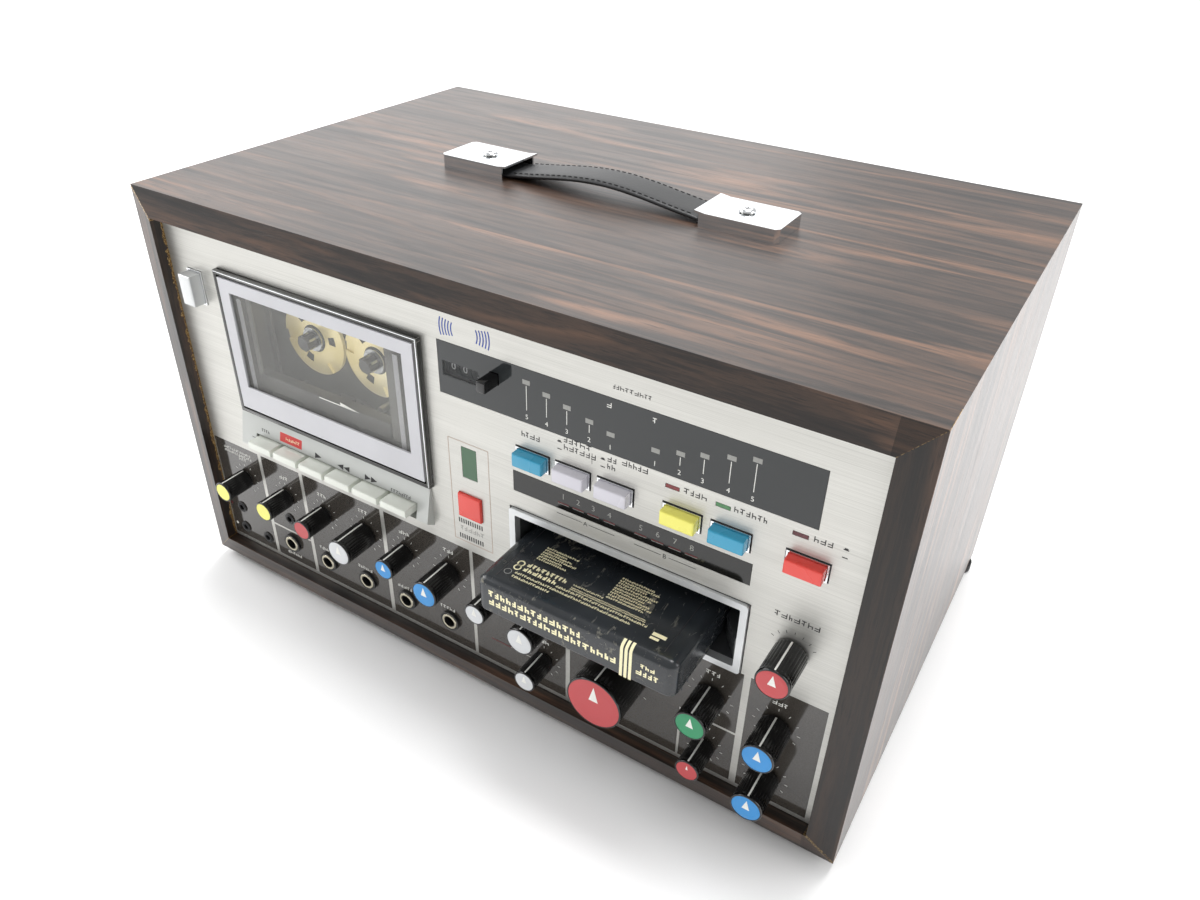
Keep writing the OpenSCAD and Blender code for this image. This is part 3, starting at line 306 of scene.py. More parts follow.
def moulded(name, colour, rough=0.3, grain=0.1, scale=1800.0, shade=0.85, coat=0.0, **fixed):
    """Moulded plastic: fine grain, soft change of tone and gloss over the surface."""
    m = Finish(name, **fixed)
    g = m.noise(scale=scale, detail=2.0)
    slow = m.noise(scale=30.0, detail=3.0)
    dark = tuple(c * shade for c in colour[:3]) + (1.0,)
    m.set("Base Color", m.mix(slow.fade(0.3, 0.72), colour, dark))
    m.set("Roughness", rough + slow * 0.10 - 0.04)
    m.set("Coat Weight", coat)
    m.relief(g, 0.00005, grain)
    return m.mat


def lens_finish():
    """Smoked meter window, see-through over the counter; programme strip; green and red lenses."""
    m = Finish("lens_smoked", IOR=1.5, roughness=0.06)
    grey = m.noise(scale=8.0, detail=2.0)
    colour = m.ramp(grey, (0.35, (36, 39, 40)), (0.65, (48, 51, 52)))
    speck = m.noise(scale=1500.0, detail=2.0)
    strip = m.ramp(speck, (0.35, (12, 12, 10)), (0.65, (22, 21, 18)))
    colour = m.mix(cut(m, 6.0, 37.0, 33.0, 36.8), colour, strip)
    pane = m.ramp(m.z, (0.0, (46, 84, 56)), (1.0, (96, 140, 104)))
    colour = m.mix(cut(m, -0.6, 2.0, 32.0, 37.0), colour, pane)
    for x0, x1, low, high in (
            (25.0, 27.5, (96, 26, 28), (124, 38, 38)), (30.5, 33.0, (56, 108, 66), (78, 134, 84)),
            (38.4, 41.0, (70, 22, 28), (96, 34, 40))):
        colour = m.mix(cut(m, x0, x1, 40.5, 42.6), colour, m.ramp(speck, (0.3, low), (0.7, high)))
    m.set("Base Color", colour)
    over_counter = m.x.between(-9.2 * MM, 11.2 * MM) * m.z.between(FOOT + 186.8 * MM, FOOT + 194.2 * MM)
    m.set("Alpha", 1.0 - 0.62 * over_counter)
    m.mat.blend_method = "BLEND"
    return m.mat


def reel_finish(node):
    """Gold table with three notches and two rings in painted shade, a chrome hub ring and a dark spindle,
    told apart by the distance from the axis; a faint painted glow on the gold stands in for light."""
    low, high = corners(node)
    cx, cz = (low[0] + high[0]) / 2, (low[2] + high[2]) / 2
    m = Finish(node + "_gold")
    dx, dz = m.x - cx, m.z - cz
    r = (dx * dx + dz * dz).root()
    cloud = m.noise(scale=25.0, detail=2.0)
    ring = (r * 9000.0).wave() * 0.5 + 0.5
    gold = m.ramp(cloud + ring * 0.12, (0.35, (196, 178, 120)), (0.55, (232, 218, 168)),
                  (0.75, (250, 244, 216)))
    hub = r < 6.7 * MM
    spindle = r < 4.7 * MM
    turn = m.add("Math", {"operation": "ARCTAN2"}, dz, dx)
    # painted shade: the notches stand for the table's cut-outs and the two rings for the gaps round the hub
    # ring, darkened for the shade in them
    notch_shade = ((turn * 3 + 1.2).wave() > 0.86) * r.between(10.5 * MM, 15 * MM)
    rim = r.between(6.7 * MM, 7.6 * MM).top(r.between(4.7 * MM, 5.3 * MM))
    gold = m.mix(notch_shade.top(rim), gold, srgb(38, 36, 33))
    colour = m.mix(hub, gold, srgb(196, 198, 198))
    colour = m.mix(spindle, colour, srgb(70, 70, 72))
    m.set("Base Color", colour)
    m.set("Metallic", (1 - spindle) * 0.85)
    m.set("Roughness", 0.32 - hub * 0.12 + spindle * 0.1)
    # painted glow: the gold emits a little light, standing in for the light that reaches the deck
    m.set("Emission Color", m.mix(hub, gold, (0, 0, 0, 1)))
    m.set("Emission Strength", 0.42)
    m.relief(ring * (1 - hub), 0.00002, 0.2)
    return m.mat


def door_paint():
    """Pale painted door; its rails behind the face are dark grey."""
    m = Finish("door_paint")
    y = corners("cassette_door")[0][1] + 3.2 * MM
    g = m.noise(scale=900.0, detail=2.0)
    face = m.ramp(m.noise(scale=30.0, detail=3.0), (0.3, (188, 188, 192)), (0.7, (196, 196, 200)))
    rail = m.ramp(g, (0.3, (66, 66, 65)), (0.7, (82, 82, 80)))
    m.set("Base Color", m.mix(m.y > y, face, rail))
    m.set("Roughness", 0.28 + g * 0.08)
    m.relief(g, 0.00005, 0.1)
    return m.mat


def frame_chrome():
    """Metal of the frames: satin round the cartridge slot, mirror bright round the buttons."""
    m = Finish("frame_chrome")
    slot = m.z < (FOOT + 135 * MM)
    smear = m.noise(scale=60.0, detail=4.0)
    mirror = m.ramp(smear, (0.3, (206, 208, 210)), (0.7, (228, 230, 232)))
    satin = m.ramp(smear, (0.3, (204, 206, 207)), (0.7, (222, 224, 225)))
    m.set("Base Color", m.mix(slot, mirror, satin))
    m.set("Metallic", 1 - slot * 0.45)
    m.set("Roughness", slot * 0.28 + 0.07 + smear * 0.05)
    return m.mat


def door_glass():
    """Grey-tinted window that shows the deck behind it."""
    m = Finish("window_tinted", IOR=1.5, roughness=0.03)
    haze = m.noise(scale=12.0, detail=3.0)
    m.set("Base Color", m.ramp(haze, (0.3, (150, 150, 148)), (0.7, (170, 170, 166))))
    m.set("Alpha", 0.20 + haze * 0.06)
    m.mat.blend_method = "BLEND"
    return m.mat


def shell_finish():
    """Worn dark cartridge shell: blue-black plastic with scuffs, pale rub marks and a soft gloss."""
    m = Finish("cartridge_shell", IOR=1.5)
    slow = m.noise(scale=22.0, detail=4.0, rough=0.6)
    scuff = m.noise((1.0, 0.35, 1.0), 240.0, 5.0, 0.75, 0.6)
    base = m.ramp(slow, (0.3, (25, 28, 31)), (0.7, (42, 46, 50)))
    worn = scuff.fade(0.58, 0.72) * slow.fade(0.38, 0.56)
    m.set("Base Color", m.mix(worn * 0.7, base, srgb(150, 146, 130)))
    m.set("Roughness", 0.16 + slow * 0.16 + worn * 0.3)
    m.relief(m.noise(scale=1500.0, detail=2.0) + scuff * 0.5, 0.00005, 0.25)
    return m.mat


def strap_finish():
    """Black grained vinyl: small cells, satin gloss."""
    m = Finish("strap_vinyl", IOR=1.5)
    grain = m.add("TexVoronoi", {}, Vector=m.place, Scale=1100.0)
    slow = m.noise(scale=40.0, detail=3.0)
    m.set("Base Color", m.ramp(slow, (0.3, (20, 21, 22)), (0.7, (33, 34, 36))))
    m.set("Roughness", 0.34 + slow * 0.14)
    m.relief(grain, 0.00012, 0.35)
    return m.mat


def ink(name, colour):
    """Screen-printed ink with slightly uneven cover."""
    m = Finish(name)
    cover = m.noise(scale=3000.0, detail=2.0)
    faint = tuple(c * 0.82 for c in colour[:3]) + (1.0,)
    m.set("Base Color", m.mix(cover.fade(0.4, 0.75), colour, faint))
    m.set("Roughness", 0.45 + cover * 0.1)
    return m.mat


FOIL_X = board_foil("foil_top", "x", 0.55, 0.34)
FOIL_Z = board_foil("foil_sides", "z", 0.5, 0.24)
BRUSHED = brushed_panel()
CHROME = metal("chrome_plate", srgb(226, 228, 230), 0.08, dirt=0.12, bump=0.03)
STEEL = metal("zinc_steel", srgb(176, 176, 172), 0.34, 700.0, 0.25)
BRASS = metal("brass_turned", srgb(206, 176, 104), 0.26, dirt=0.2)
NICKEL = metal("nickel_ring", srgb(196, 190, 170), 0.2, dirt=0.3)
BLACK = moulded("plastic_black", srgb(26, 26, 27), 0.38, 0.2)
GLOSS_BLACK = moulded("knob_black", srgb(8, 8, 9), 0.15, 0.03, 2600.0, 0.8, 0.2)
DECK = moulded("deck_grey", srgb(112, 112, 108), 0.42, 0.25)
RAMP = moulded("guide_grey", srgb(70, 72, 74), 0.22, 0.1)
RUBBER = moulded("rubber_black", srgb(24, 24, 24), 0.7, 0.5, 900.0)
SILVER = moulded("bezel_silver", srgb(181, 183, 180), 0.32, 0.15, 1200.0, 0.94, metallic=0.35)
IVORY = moulded("key_ivory", srgb(218, 221, 212), 0.22, 0.06, 1200.0, 0.96, 0.2)
BOARD = moulded("board_green", srgb(30, 84, 48), 0.4, 0.3, 700.0, 0.7)
HARDBOARD = moulded("hardboard_brown", srgb(74, 54, 38), 0.75, 0.6, 500.0, 0.7)
WHITE_INK = ink("ink_white", srgb(232, 232, 226))
BLACK_INK = ink("ink_black", srgb(36, 34, 36))
BLUE_INK = ink("ink_blue", srgb(46, 72, 158))
RED_INK = ink("ink_red", srgb(204, 60, 58))
DULL_RED_INK = ink("ink_dull_red", srgb(92, 26, 28))
SAND_INK = ink("ink_sand", srgb(176, 152, 136))
CREAM_INK = ink("ink_cream", srgb(246, 238, 196))
PALE_INK = ink("ink_pale", srgb(150, 150, 146))
CAPS = {
    name: moulded("cap_" + name, srgb(*colour), 0.3, 0.05, 900.0, shade)
    for name, colour, shade in (
        ("yellow", (236, 232, 112), 0.95), ("red", (186, 62, 66), 0.93), ("blue", (40, 138, 206), 0.93),
        ("white", (206, 208, 210), 0.96), ("green", (30, 140, 92), 0.93))}
BUTTONS = {
    name: moulded("button_" + name, srgb(*colour), 0.26, 0.06, 1100.0, shade, 0.2)
    for name, colour, shade in (
        ("blue", (46, 152, 188), 0.93), ("grey", (206, 204, 212), 0.95), ("yellow", (240, 234, 110), 0.95),
        ("red", (224, 66, 56), 0.93))}


# ---- shapes

def piece(name, points, faces, look, body="cabinet", slot=None, angle=30.0, mend=True):
    """A new mesh piece that rides on a body; edges sharper than the angle stay crisp, and mending
    merges points that fall together and turns all faces outward."""
    mesh = bpy.data.meshes.new(name)
    mesh.from_pydata(np.asarray(points, float).tolist(), [], [list(map(int, f)) for f in faces])
    if mend:
        bm = bmesh.new()
        bm.from_mesh(mesh)
        bmesh.ops.remove_doubles(bm, verts=bm.verts, dist=1e-7)
        bmesh.ops.dissolve_degenerate(bm, edges=bm.edges, dist=1e-8)
        bmesh.ops.recalc_face_normals(bm, faces=bm.faces)
        bm.to_mesh(mesh)
        bm.free()
    mesh.validate()
    mesh.shade_smooth()
    mesh.set_sharp_from_angle(angle=math.radians(angle))
    mesh.materials.append(look)
    obj = bpy.data.objects.new(name, mesh)
    show(obj)
    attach(obj, body)
    return obj


def tube_faces(rows, cols):
    """Faces of a grid of rows x cols points closed across the columns, with a face at each end."""
    i, j = np.meshgrid(np.arange(rows - 1), np.arange(cols), indexing="ij")
    k = (j + 1) % cols
    sides = np.stack([i * cols + j, i * cols + k, (i + 1) * cols + k, (i + 1) * cols + j], -1)
    ends = [list(range(cols))[::-1], list(range((rows - 1) * cols, rows * cols))]
    return list(sides.reshape(-1, 4)) + ends


def turned(centre, radii, depths, sides=64, flutes=0, bite=0.0, cut_rows=None):
    """Surface of revolution about an axis along Y: row k has radius radii[k] at y = centre_y + depths[k].
    Flutes pull the radius in by bite * (1 - |cos|^0.7) over the rows that cut_rows names. Ends are closed."""
    a = np.linspace(0, 2 * np.pi, sides, endpoint=False)[None, :]
    r = np.asarray(radii, float)[:, None] * np.ones_like(a)
    if flutes:
        groove = bite * (1 - np.abs(np.cos(a * flutes / 2)) ** 0.7)
        r = r - groove * np.asarray(cut_rows, float)[:, None]
    y = np.asarray(depths, float)[:, None] * np.ones_like(a)
    pts = np.stack([centre[0] + r * np.sin(a), centre[1] + y, centre[2] + r * np.cos(a)], -1)
    return pts.reshape(-1, 3), tube_faces(len(radii), sides)


def rounded_block(low, high, r, k=4):
    """Box with round edges: a sphere of radius r cut in eight and pushed out to the corners.
    r may be three radii, one for each axis."""
    low, high = np.array(low, float), np.array(high, float)
    r = np.ones(3) * r
    mid, half = (low + high) / 2, (high - low) / 2
    q = np.linspace(0, np.pi / 2, k + 1)
    u = np.concatenate([q + i * np.pi / 2 for i in range(4)])
    su = np.repeat([[1, 1], [-1, 1], [-1, -1], [1, -1]], k + 1, axis=0).T
    v = np.concatenate([q - np.pi / 2, q])
    sv = np.repeat([-1, 1], k + 1)
    vv, uu = np.meshgrid(v, u, indexing="ij")
    n = np.stack([np.cos(vv) * np.cos(uu), np.cos(vv) * np.sin(uu), np.sin(vv)], -1)
    s = np.stack([np.ones_like(vv) * su[0], np.ones_like(vv) * su[1], np.repeat(sv[:, None], len(u), 1)], -1)
    pts = mid + s * (half - r) + n * r
    return pts.reshape(-1, 3), tube_faces(len(v), len(u))


def join(parts):
    """Points and faces of several shapes in one."""
    pts, faces, at = [], [], 0
    for p, f in parts:
        pts.append(np.asarray(p, float))
        faces += [[int(i) + at for i in face] for face in f]
        at += len(p)
    return np.concatenate(pts), faces


class Marks:
    """Flat marks of one colour on one face, gathered in one piece: thin closed plates.
    place(a, b, lift) takes arrays to points in space; lift is the height above the face."""

    def __init__(self, name, look, place, body="cabinet", thick=0.00006):
        self.name, self.look, self.place, self.body, self.thick = name, look, place, body, thick
        self.parts = []

    def poly(self, pts):
        pts = np.asarray(pts, float)
        n = len(pts)
        top = self.place(pts[:, 0], pts[:, 1], self.thick)
        bottom = self.place(pts[:, 0], pts[:, 1], 0.0)
        j = np.arange(n)
        sides = np.stack([j, n + j, n + (j + 1) % n, (j + 1) % n], -1)
        ends = [list(range(n)), list(range(n, 2 * n))[::-1]]
        self.parts.append((np.concatenate([top, bottom]), [*ends, *sides]))

    def box(self, a0, b0, a1, b1):
        self.poly([(a0, b0), (a1, b0), (a1, b1), (a0, b1)])

    def line(self, a0, b0, a1, b1, w):
        """Straight stroke of width w."""
        d = np.array([a1 - a0, b1 - b0])
        s = np.array([-d[1], d[0]]) / np.hypot(*d) * w / 2
        p, q = np.array([a0, b0]), np.array([a1, b1])
        self.poly([p - s, q - s, q + s, p + s])

    def arc(self, a, b, r, t0, t1, w, n=10):
        """Stroke of width w along a circle, angles in degrees."""
        t = np.radians(np.linspace(t0, t1, n))
        outer = np.stack([a + (r + w / 2) * np.cos(t), b + (r + w / 2) * np.sin(t)], -1)
        inner = np.stack([a + (r - w / 2) * np.cos(t), b + (r - w / 2) * np.sin(t)], -1)
        for i in range(n - 1):
            self.poly([inner[i], outer[i], outer[i + 1], inner[i + 1]])

    def frame(self, a0, b0, a1, b1, w):
        self.box(a0, b0, a1, b0 + w)
        self.box(a0, b1 - w, a1, b1)
        self.box(a0, b0 + w, a0 + w, b1 - w)
        self.box(a1 - w, b0 + w, a1, b1 - w)

    def digits(self, text, a, b, h):
        """Plain numbers or letters, centred on a point, h high."""
        pts, faces = outline_of(text)
        self.parts.append((self.place(a + pts[:, 0] * h, b + pts[:, 1] * h, self.thick), faces))

    def blur(self, a, b, w, h, seed, rows=1, bold=0.16):
        """Small strokes that only suggest a caption, with nothing to read; bold is their width over h."""
        rng = np.random.default_rng(seed)
        step, t = h * 1.5, h * bold
        for k in range(rows):
            at = a
            while at < a + w - h * 0.3:
                wide = h * rng.uniform(0.5, 0.95)
                y = b - k * step
                kind = rng.integers(3)
                if kind == 0:
                    self.box(at, y + h - t, at + wide, y + h)
                    self.box(at + wide / 2 - t / 2, y, at + wide / 2 + t / 2, y + h - t)
                    self.box(at, y + h * 0.3, at + wide / 2 - t / 2, y + h * 0.3 + t)
                elif kind == 1:
                    self.box(at, y, at + t, y + h)
                    self.box(at + t, y + h * 0.5 - t / 2, at + wide, y + h * 0.5 + t / 2)
                    self.box(at + wide - t, y, at + wide, y + h * 0.5 - t / 2)
                else:
                    self.box(at, y, at + wide, y + t)
                    self.box(at, y + h * 0.5 - t / 2, at + wide - t, y + h * 0.5 + t / 2)
                    self.box(at + wide - t, y + t, at + wide, y + h)
                at += wide + h * 0.28

    def build(self):
        piece(self.name, *join(self.parts), self.look, self.body, mend=False)


_outlines = {}


def outline_of(text):
    """Points and faces of a number or letter in the built-in face, one unit high, centred."""
    if text not in _outlines:
        curve = bpy.data.curves.new("digits", "FONT")
        curve.body = text
        curve.align_x = "CENTER"
        curve.align_y = "CENTER"
        curve.resolution_u = 3
        obj = bpy.data.objects.new("digits", curve)
        show(obj)
        bpy.context.view_layer.update()
        mesh = bpy.data.meshes.new_from_object(obj.evaluated_get(bpy.context.evaluated_depsgraph_get()))
        pts = np.array([v.co[:2] for v in mesh.vertices])
        faces = [list(p.vertices) for p in mesh.polygons]
        up = mesh.polygons[0].normal.z > 0
        faces = faces if up else [f[::-1] for f in faces]
        pts = pts - (pts.min(0) + pts.max(0)) / 2
        size = pts[:, 1].max() - pts[:, 1].min()
        _outlines[text] = (pts / size, faces)
        bpy.data.objects.remove(obj)
        bpy.data.curves.remove(curve)
        bpy.data.meshes.remove(mesh)
    return _outlines[text]


def paint(node, look):
    """Gives a carried-over node its finish."""
    obj = nodes[node]
    obj.data.materials.clear()
    obj.data.materials.append(look)


def facing_front(y):
    """Places marks on the upright plane at depth y."""
    return lambda a, b, lift: np.stack([a, np.full_like(a, y) - lift, b], -1)


def facing_up(z):
    """Places marks on the level plane at height z."""
    return lambda a, b, lift: np.stack([a, b, np.full_like(a, z) + lift], -1)


def gx(x):
    return x * U


def gz(z):
    return z * U + FOOT


# ---- finishes of the carried-over nodes

FINISHES = {
    "cabinet_top": FOIL_X,
    "cabinet_carcass": FOIL_Z,
    "rear_panel": HARDBOARD,
    "rubber_feet": RUBBER,
    "handle_brackets": metal("chrome_caps", srgb(232, 234, 236), 0.02, dirt=0.06, bump=0.02),
    "screws": STEEL,
    "chassis": STEEL,
    "front_panel": BRUSHED,
    "panel_lenses": lens_finish(),
    "chrome_frames": frame_chrome(),
    "cartridge_guide": RAMP,
    "jack_sockets": BLACK,
    "control_blocks": metal("can_zinc", srgb(150, 150, 146), 0.4, 500.0, 0.3),
    "cassette_well": DECK,
    "cassette_door": door_paint(),
    "door_window": door_glass(),
    "key_bezel": SILVER,
    "reel_table_left": reel_finish("reel_table_left"),
    "reel_table_right": reel_finish("reel_table_right"),
    "head_bridge": moulded("head_grey", srgb(92, 90, 88), 0.4, 0.2),
    "cassette_flywheel": STEEL,
    "capstan_flywheel": STEEL,
    "drive_motors": STEEL,
    "motor_pulley": BRASS,
    "drive_belt": RUBBER,
    "power_transformer": STEEL,
    "circuit_boards": BOARD,
    "counter_wheels": BLACK,
}
for node, look in FINISHES.items():
    paint(node, look)


# ---- knobs

KNOBS = [
    ("knob_yellow_left", "yellow", 0), ("knob_yellow_right", "yellow", 0), ("knob_red_small", "red", 0),
    ("knob_white_large", "white", 2), ("knob_blue_small", "blue", 2), ("knob_blue_large", "blue", 2),
    ("knob_white_small", "white", 2), ("knob_silver_large", "white", 2), ("knob_silver_small", "white", 2),
    ("knob_volume", "red", 2), ("knob_green", "green", 2), ("knob_red_low", "red", 1),
    ("knob_tape_speed", "red", 2), ("knob_blue_upper", "blue", 2), ("knob_blue_lower", "blue", 2),
]


def knob(node, colour, mark):
    """Fluted black body turned about its shaft, a coloured disc in its end, a white line along its
    top and, on most, a white wedge on the disc."""
    low, high = corners(node)
    cx, cz, R = (low[0] + high[0]) / 2, (low[2] + high[2]) / 2, (high[0] - low[0]) / 2
    back, front = PY - 0.8 * MM, low[1]
    n = int(round(12 + R * 1900))
    from_front = np.array([3.0, 2.4, 2.1, 0.7, 0.25, 0.02, 0.02, 0.45])
    depth = np.array([0, 0.3, 1.0, *((back - front) / MM - from_front)]) * MM
    radii = R + np.array([-0.55, -0.25, -0.12, -0.05, -0.05, 0, 0, -0.12, -0.4, -0.75, -0.85]) * MM
    cuts = [1, 1, 1, 1, 0.9, 0, 0, 0, 0, 0, 0]
    pts, faces = turned((cx, back, cz), radii, -depth, n * 8, n, 0.26 * MM, cuts)
    body = piece(node + "_body", pts, faces, GLOSS_BLACK, node, "knob", 40)
    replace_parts(body, node)
    rc = R - 0.85 * MM
    disc = turned((cx, front, cz), [rc, rc, rc * 0.985, rc * 0.7, rc * 0.35, 0.02 * MM],
                  np.array([0.5, 0.12, 0.05, 0.03, 0.02, 0.02]) * MM, 72)
    piece(node + "_disc", *disc, CAPS[colour], node, angle=40)
    w = 0.42 * MM
    line = rounded_block((cx - w, front + 0.9 * MM, cz + R - 0.6 * MM),
                         (cx + w, back - 1.0 * MM, cz + R + 0.02 * MM), 0.1 * MM, 2)
    piece(node + "_line", *line, WHITE_INK, node, angle=40)
    if mark:
        m = Marks(node + "_wedge", WHITE_INK, facing_front(front + 0.02 * MM), node, 0.05 * MM)
        tip, foot, half = (0.72, 0.10, 0.17) if R > 10 * MM else (0.66, -0.08, 0.24)
        if mark == 1:
            tip, foot, half = 0.6, 0.15, 0.10
        m.poly([(cx - half * R, cz + foot * R), (cx + half * R, cz + foot * R), (cx, cz + tip * R)])
        m.build()


for args in KNOBS:
    knob(*args)


# ---- buttons and keys

SKIN = 0.05 * MM


def skin(node, look, r, low, high):
    """Round-edged cap fitted over the front of a node, which gets the same finish."""
    piece(node + "_cap", *rounded_block(low, high, r * MM), look, node)
    paint(node, look)


EJECT = moulded("eject_silver", srgb(206, 208, 208), 0.22, 0.05, 900.0, 0.95, 0.2, metallic=0.3)
for name, look, r in (
        ("select", BUTTONS["blue"], 0.7), ("tape_type", BUTTONS["grey"], 0.7), ("side", BUTTONS["grey"], 0.7),
        ("cue", BUTTONS["yellow"], 0.7), ("start", BUTTONS["blue"], 0.7), ("power", BUTTONS["red"], 0.7),
        ("auto", BUTTONS["red"], 0.7), ("eject", EJECT, 0.9), ("reset", GLOSS_BLACK, 0.6)):
    lo, hi = corners("button_" + name)
    skin("button_" + name, look, r, lo - SKIN, (hi[0] + SKIN, PY + 2.4 * MM, hi[2] + SKIN))

KEY_FOOT = FOOT + 102.3 * MM
for name in ("stop", "record", "play", "rewind", "forward", "pause"):
    lo, hi = corners("key_" + name)
    skin("key_" + name, IVORY, 0.55, (lo[0] - SKIN, lo[1] - SKIN, KEY_FOOT - SKIN),
         (hi[0] + SKIN, PY + 4.05 * MM, KEY_FOOT + 4.35 * MM))


# ---- printed marks on the panel

white, pale, black, dull, blue, sand, thin_line = LAYERS = [
    Marks("marks_" + name, look, facing_front(PY)) for name, look in (
        ("white", WHITE_INK), ("pale", PALE_INK), ("black", BLACK_INK), ("dull_red", DULL_RED_INK),
        ("blue", BLUE_INK), ("sand", SAND_INK), ("dark", PALE_INK))]

# scales round the knobs: eleven ticks over 300 degrees and a small caption above each, or seven
# ticks over 120 degrees round the tape speed knob
for i, (node, _, _) in enumerate(KNOBS):
    low, high = corners(node)
    cx, cz, R = (low[0] + high[0]) / 2, (low[2] + high[2]) / 2, (high[0] - low[0]) / 2
    speed = node == "knob_tape_speed"
    layer = black if speed else white
    for t in np.radians(np.linspace(-60, 60, 7) if speed else np.linspace(-150, 150, 11)):
        r0, r1 = R + 2.2 * MM, R + 3.6 * MM
        sin, cos = math.sin(t), math.cos(t)
        layer.line(cx + r0 * sin, cz + r0 * cos, cx + r1 * sin, cz + r1 * cos, 0.26 * MM)
    if not speed:
        white.blur(cx - 3.4 * MM, cz + R + 5.6 * MM, 6.4 * MM, 2.3 * MM, i)
black.blur(gx(40.9) - 10 * MM, gz(31.2), 18 * MM, 2.7 * MM, 40)

JACKS = ((-137.2, 31.3), (-107.5, 31), (-77, 31.3), (-47.4, 31.7), (-16.9, 32.1))
for x, h in JACKS:
    up = -10.6 if x < -130 else 6.6
    white.blur((x - 7) * MM, FOOT + (h + up) * MM, 11 * MM, 2.0 * MM, int(x) % 97)
white.blur(gx(-44.6), gz(20.1), 6 * U * 0.9, 1.6 * MM, 7, 2)
for a, b, r in ((-45.9, 9.6, 1.0), (-45.7, 5.9, 1.0)):
    t = np.linspace(0, 2 * np.pi, 20, endpoint=False)
    (dull if b > 8 else white).poly(np.stack([gx(a) + r * MM * np.cos(t), gz(b) + r * MM * np.sin(t)], -1))
dull.box(gx(2.5), gz(8.05), gx(5.6), gz(8.2))
white.line(gx(5.6), gz(8.12), gx(9.3), gz(8.12), 0.2 * MM)

# level squares, their lines and numbers
left = [(8.9, 47.9), (11.4, 47.2), (13.9, 46.6), (16.6, 45.9), (19.1, 45.25)]
right = [(24.2, 45.25), (26.9, 45.9), (29.4, 46.6), (32.1, 47.4), (34.6, 48.1)]
for (x, z), num in list(zip(left, "54321")) + list(zip(right, "12345")):
    pale.box(gx(x) - 1.9 * MM, gz(z) - 1.1 * MM, gx(x) + 1.9 * MM, gz(z) + 1.1 * MM)
    if z - 0.55 > 44.75:
        white.box(gx(x) - 0.16 * MM, gz(44.55), gx(x) + 0.16 * MM, gz(z) - 1.7 * MM)
    white.digits(num, gx(x), gz(43.75), 2.3 * MM)
for x, k in ((18.9, 51), (24.0, 52)):
    white.blur(gx(x) - 1.3 * MM, gz(48.3), 2.6 * MM, 2.3 * MM, k)
black.blur(gx(19.2), gz(50.6), 4.4 * U, 1.9 * MM, 53)

# counter: three plain digits with a painted glow sit behind the window on the wheels
wheels = corners("counter_wheels")
wc = (wheels[0] + wheels[1]) / 2
wr = (wheels[1][2] - wheels[0][2]) / 2


def on_drum(a, b, lift):
    """Rim of the counter wheels: y = yc - r cos(b / wr), z = zc + r sin(b / wr)."""
    r = wr + lift
    return np.stack([a, wc[1] - r * np.cos(b / wr), wc[2] + r * np.sin(b / wr)], -1)


GLOWING_DIGIT_INK = ink("ink_counter_glowing", srgb(238, 238, 234))
digit_inputs = GLOWING_DIGIT_INK.node_tree.nodes["Principled BSDF"].inputs
# painted glow: the digits emit light so that they read bright behind the smoked window
digit_inputs["Emission Color"].default_value = (1, 1, 1, 1)
digit_inputs["Emission Strength"].default_value = 0.45
drum = Marks("counter_digits", GLOWING_DIGIT_INK, on_drum, "counter_wheels", 0.05 * MM)
for i, first in zip((-1, 0, 1), (0, 0, 1)):
    for k in range(10):
        drum.digits(str((first + k) % 10), wc[0] + i * 6.7 * MM, wr * 2 * np.pi * -k / 10, 3.6 * MM)
drum.build()

# programme strip: numbers over dull red bars, and the two sides' lines under it
for xs, first in (((13.5, 15.4, 17.3, 19.3), 1), ((23.1, 25.1, 27.1, 29.0), 5)):
    for k, x in enumerate(xs):
        pale.digits(str(first + k), gx(x), gz(35.25), 2.9 * MM)
        dull.box(gx(x) - 2.9 * MM, gz(34.24), gx(x) + 2.9 * MM, gz(34.38))
        thin_line.box(gx(x) - 2.9 * MM, gz(34.14), gx(x) + 2.9 * MM, gz(34.19))
for a, b, letter in ((12.7, 20.0, "A"), (22.4, 29.7, "B")):
    mid = (a + b) / 2
    black.box(gx(a), gz(32.75), gx(mid) - 1.9 * MM, gz(32.81))
    black.box(gx(mid) + 1.9 * MM, gz(32.75), gx(b), gz(32.81))
    black.digits(letter, gx(mid), gz(32.78), 2.3 * MM)

# captions of the push buttons
for x, z, w, k in (
        (8.6, 41.2, 2.2, 60), (14.0, 42.4, 3.6, 61), (14.0, 41.5, 3.6, 62), (19.3, 42.0, 1.0, 63),
        (21.0, 42.2, 3.0, 64), (19.3, 41.1, 1.0, 65), (28.0, 41.6, 2.3, 66), (33.4, 41.6, 3.3, 67),
        (41.4, 41.6, 1.9, 68)):
    black.blur(gx(x - 0.45), gz(z) - 0.2 * MM, w * U, 2.6 * MM, k)
for x, z in ((13.0, 42.25), (13.0, 41.35), (18.3, 42.05), (18.3, 41.15), (44.0, 42.0), (44.0, 41.1)):
    black.box(gx(x) - 1.1 * MM, gz(z) - 0.55 * MM, gx(x) + 1.1 * MM, gz(z) - 0.1 * MM)
    if z > 41.5:
        black.box(gx(x) - 0.7 * MM, gz(z) - 0.1 * MM, gx(x) + 0.7 * MM, gz(z) + 0.5 * MM)
black.line(gx(17.0), gz(40.9), gx(17.0), gz(42.2), 0.2 * MM)

# outline and ticks round the square button
sand.frame(gx(-2.3), gz(22.6), gx(3.45), gz(37.3), 0.3 * MM)
for z in (25.75, 23.4):
    for k in range(11):
        x = gx(-1.15) - 1.5 * MM + k * 1.4 * MM
        black.box(x, gz(z) - 1.6 * MM, x + 0.7 * MM, gz(z) + 1.2 * MM)
pale.blur(gx(-1.3), gz(24.3), 3.2 * U, 2.5 * MM, 70)
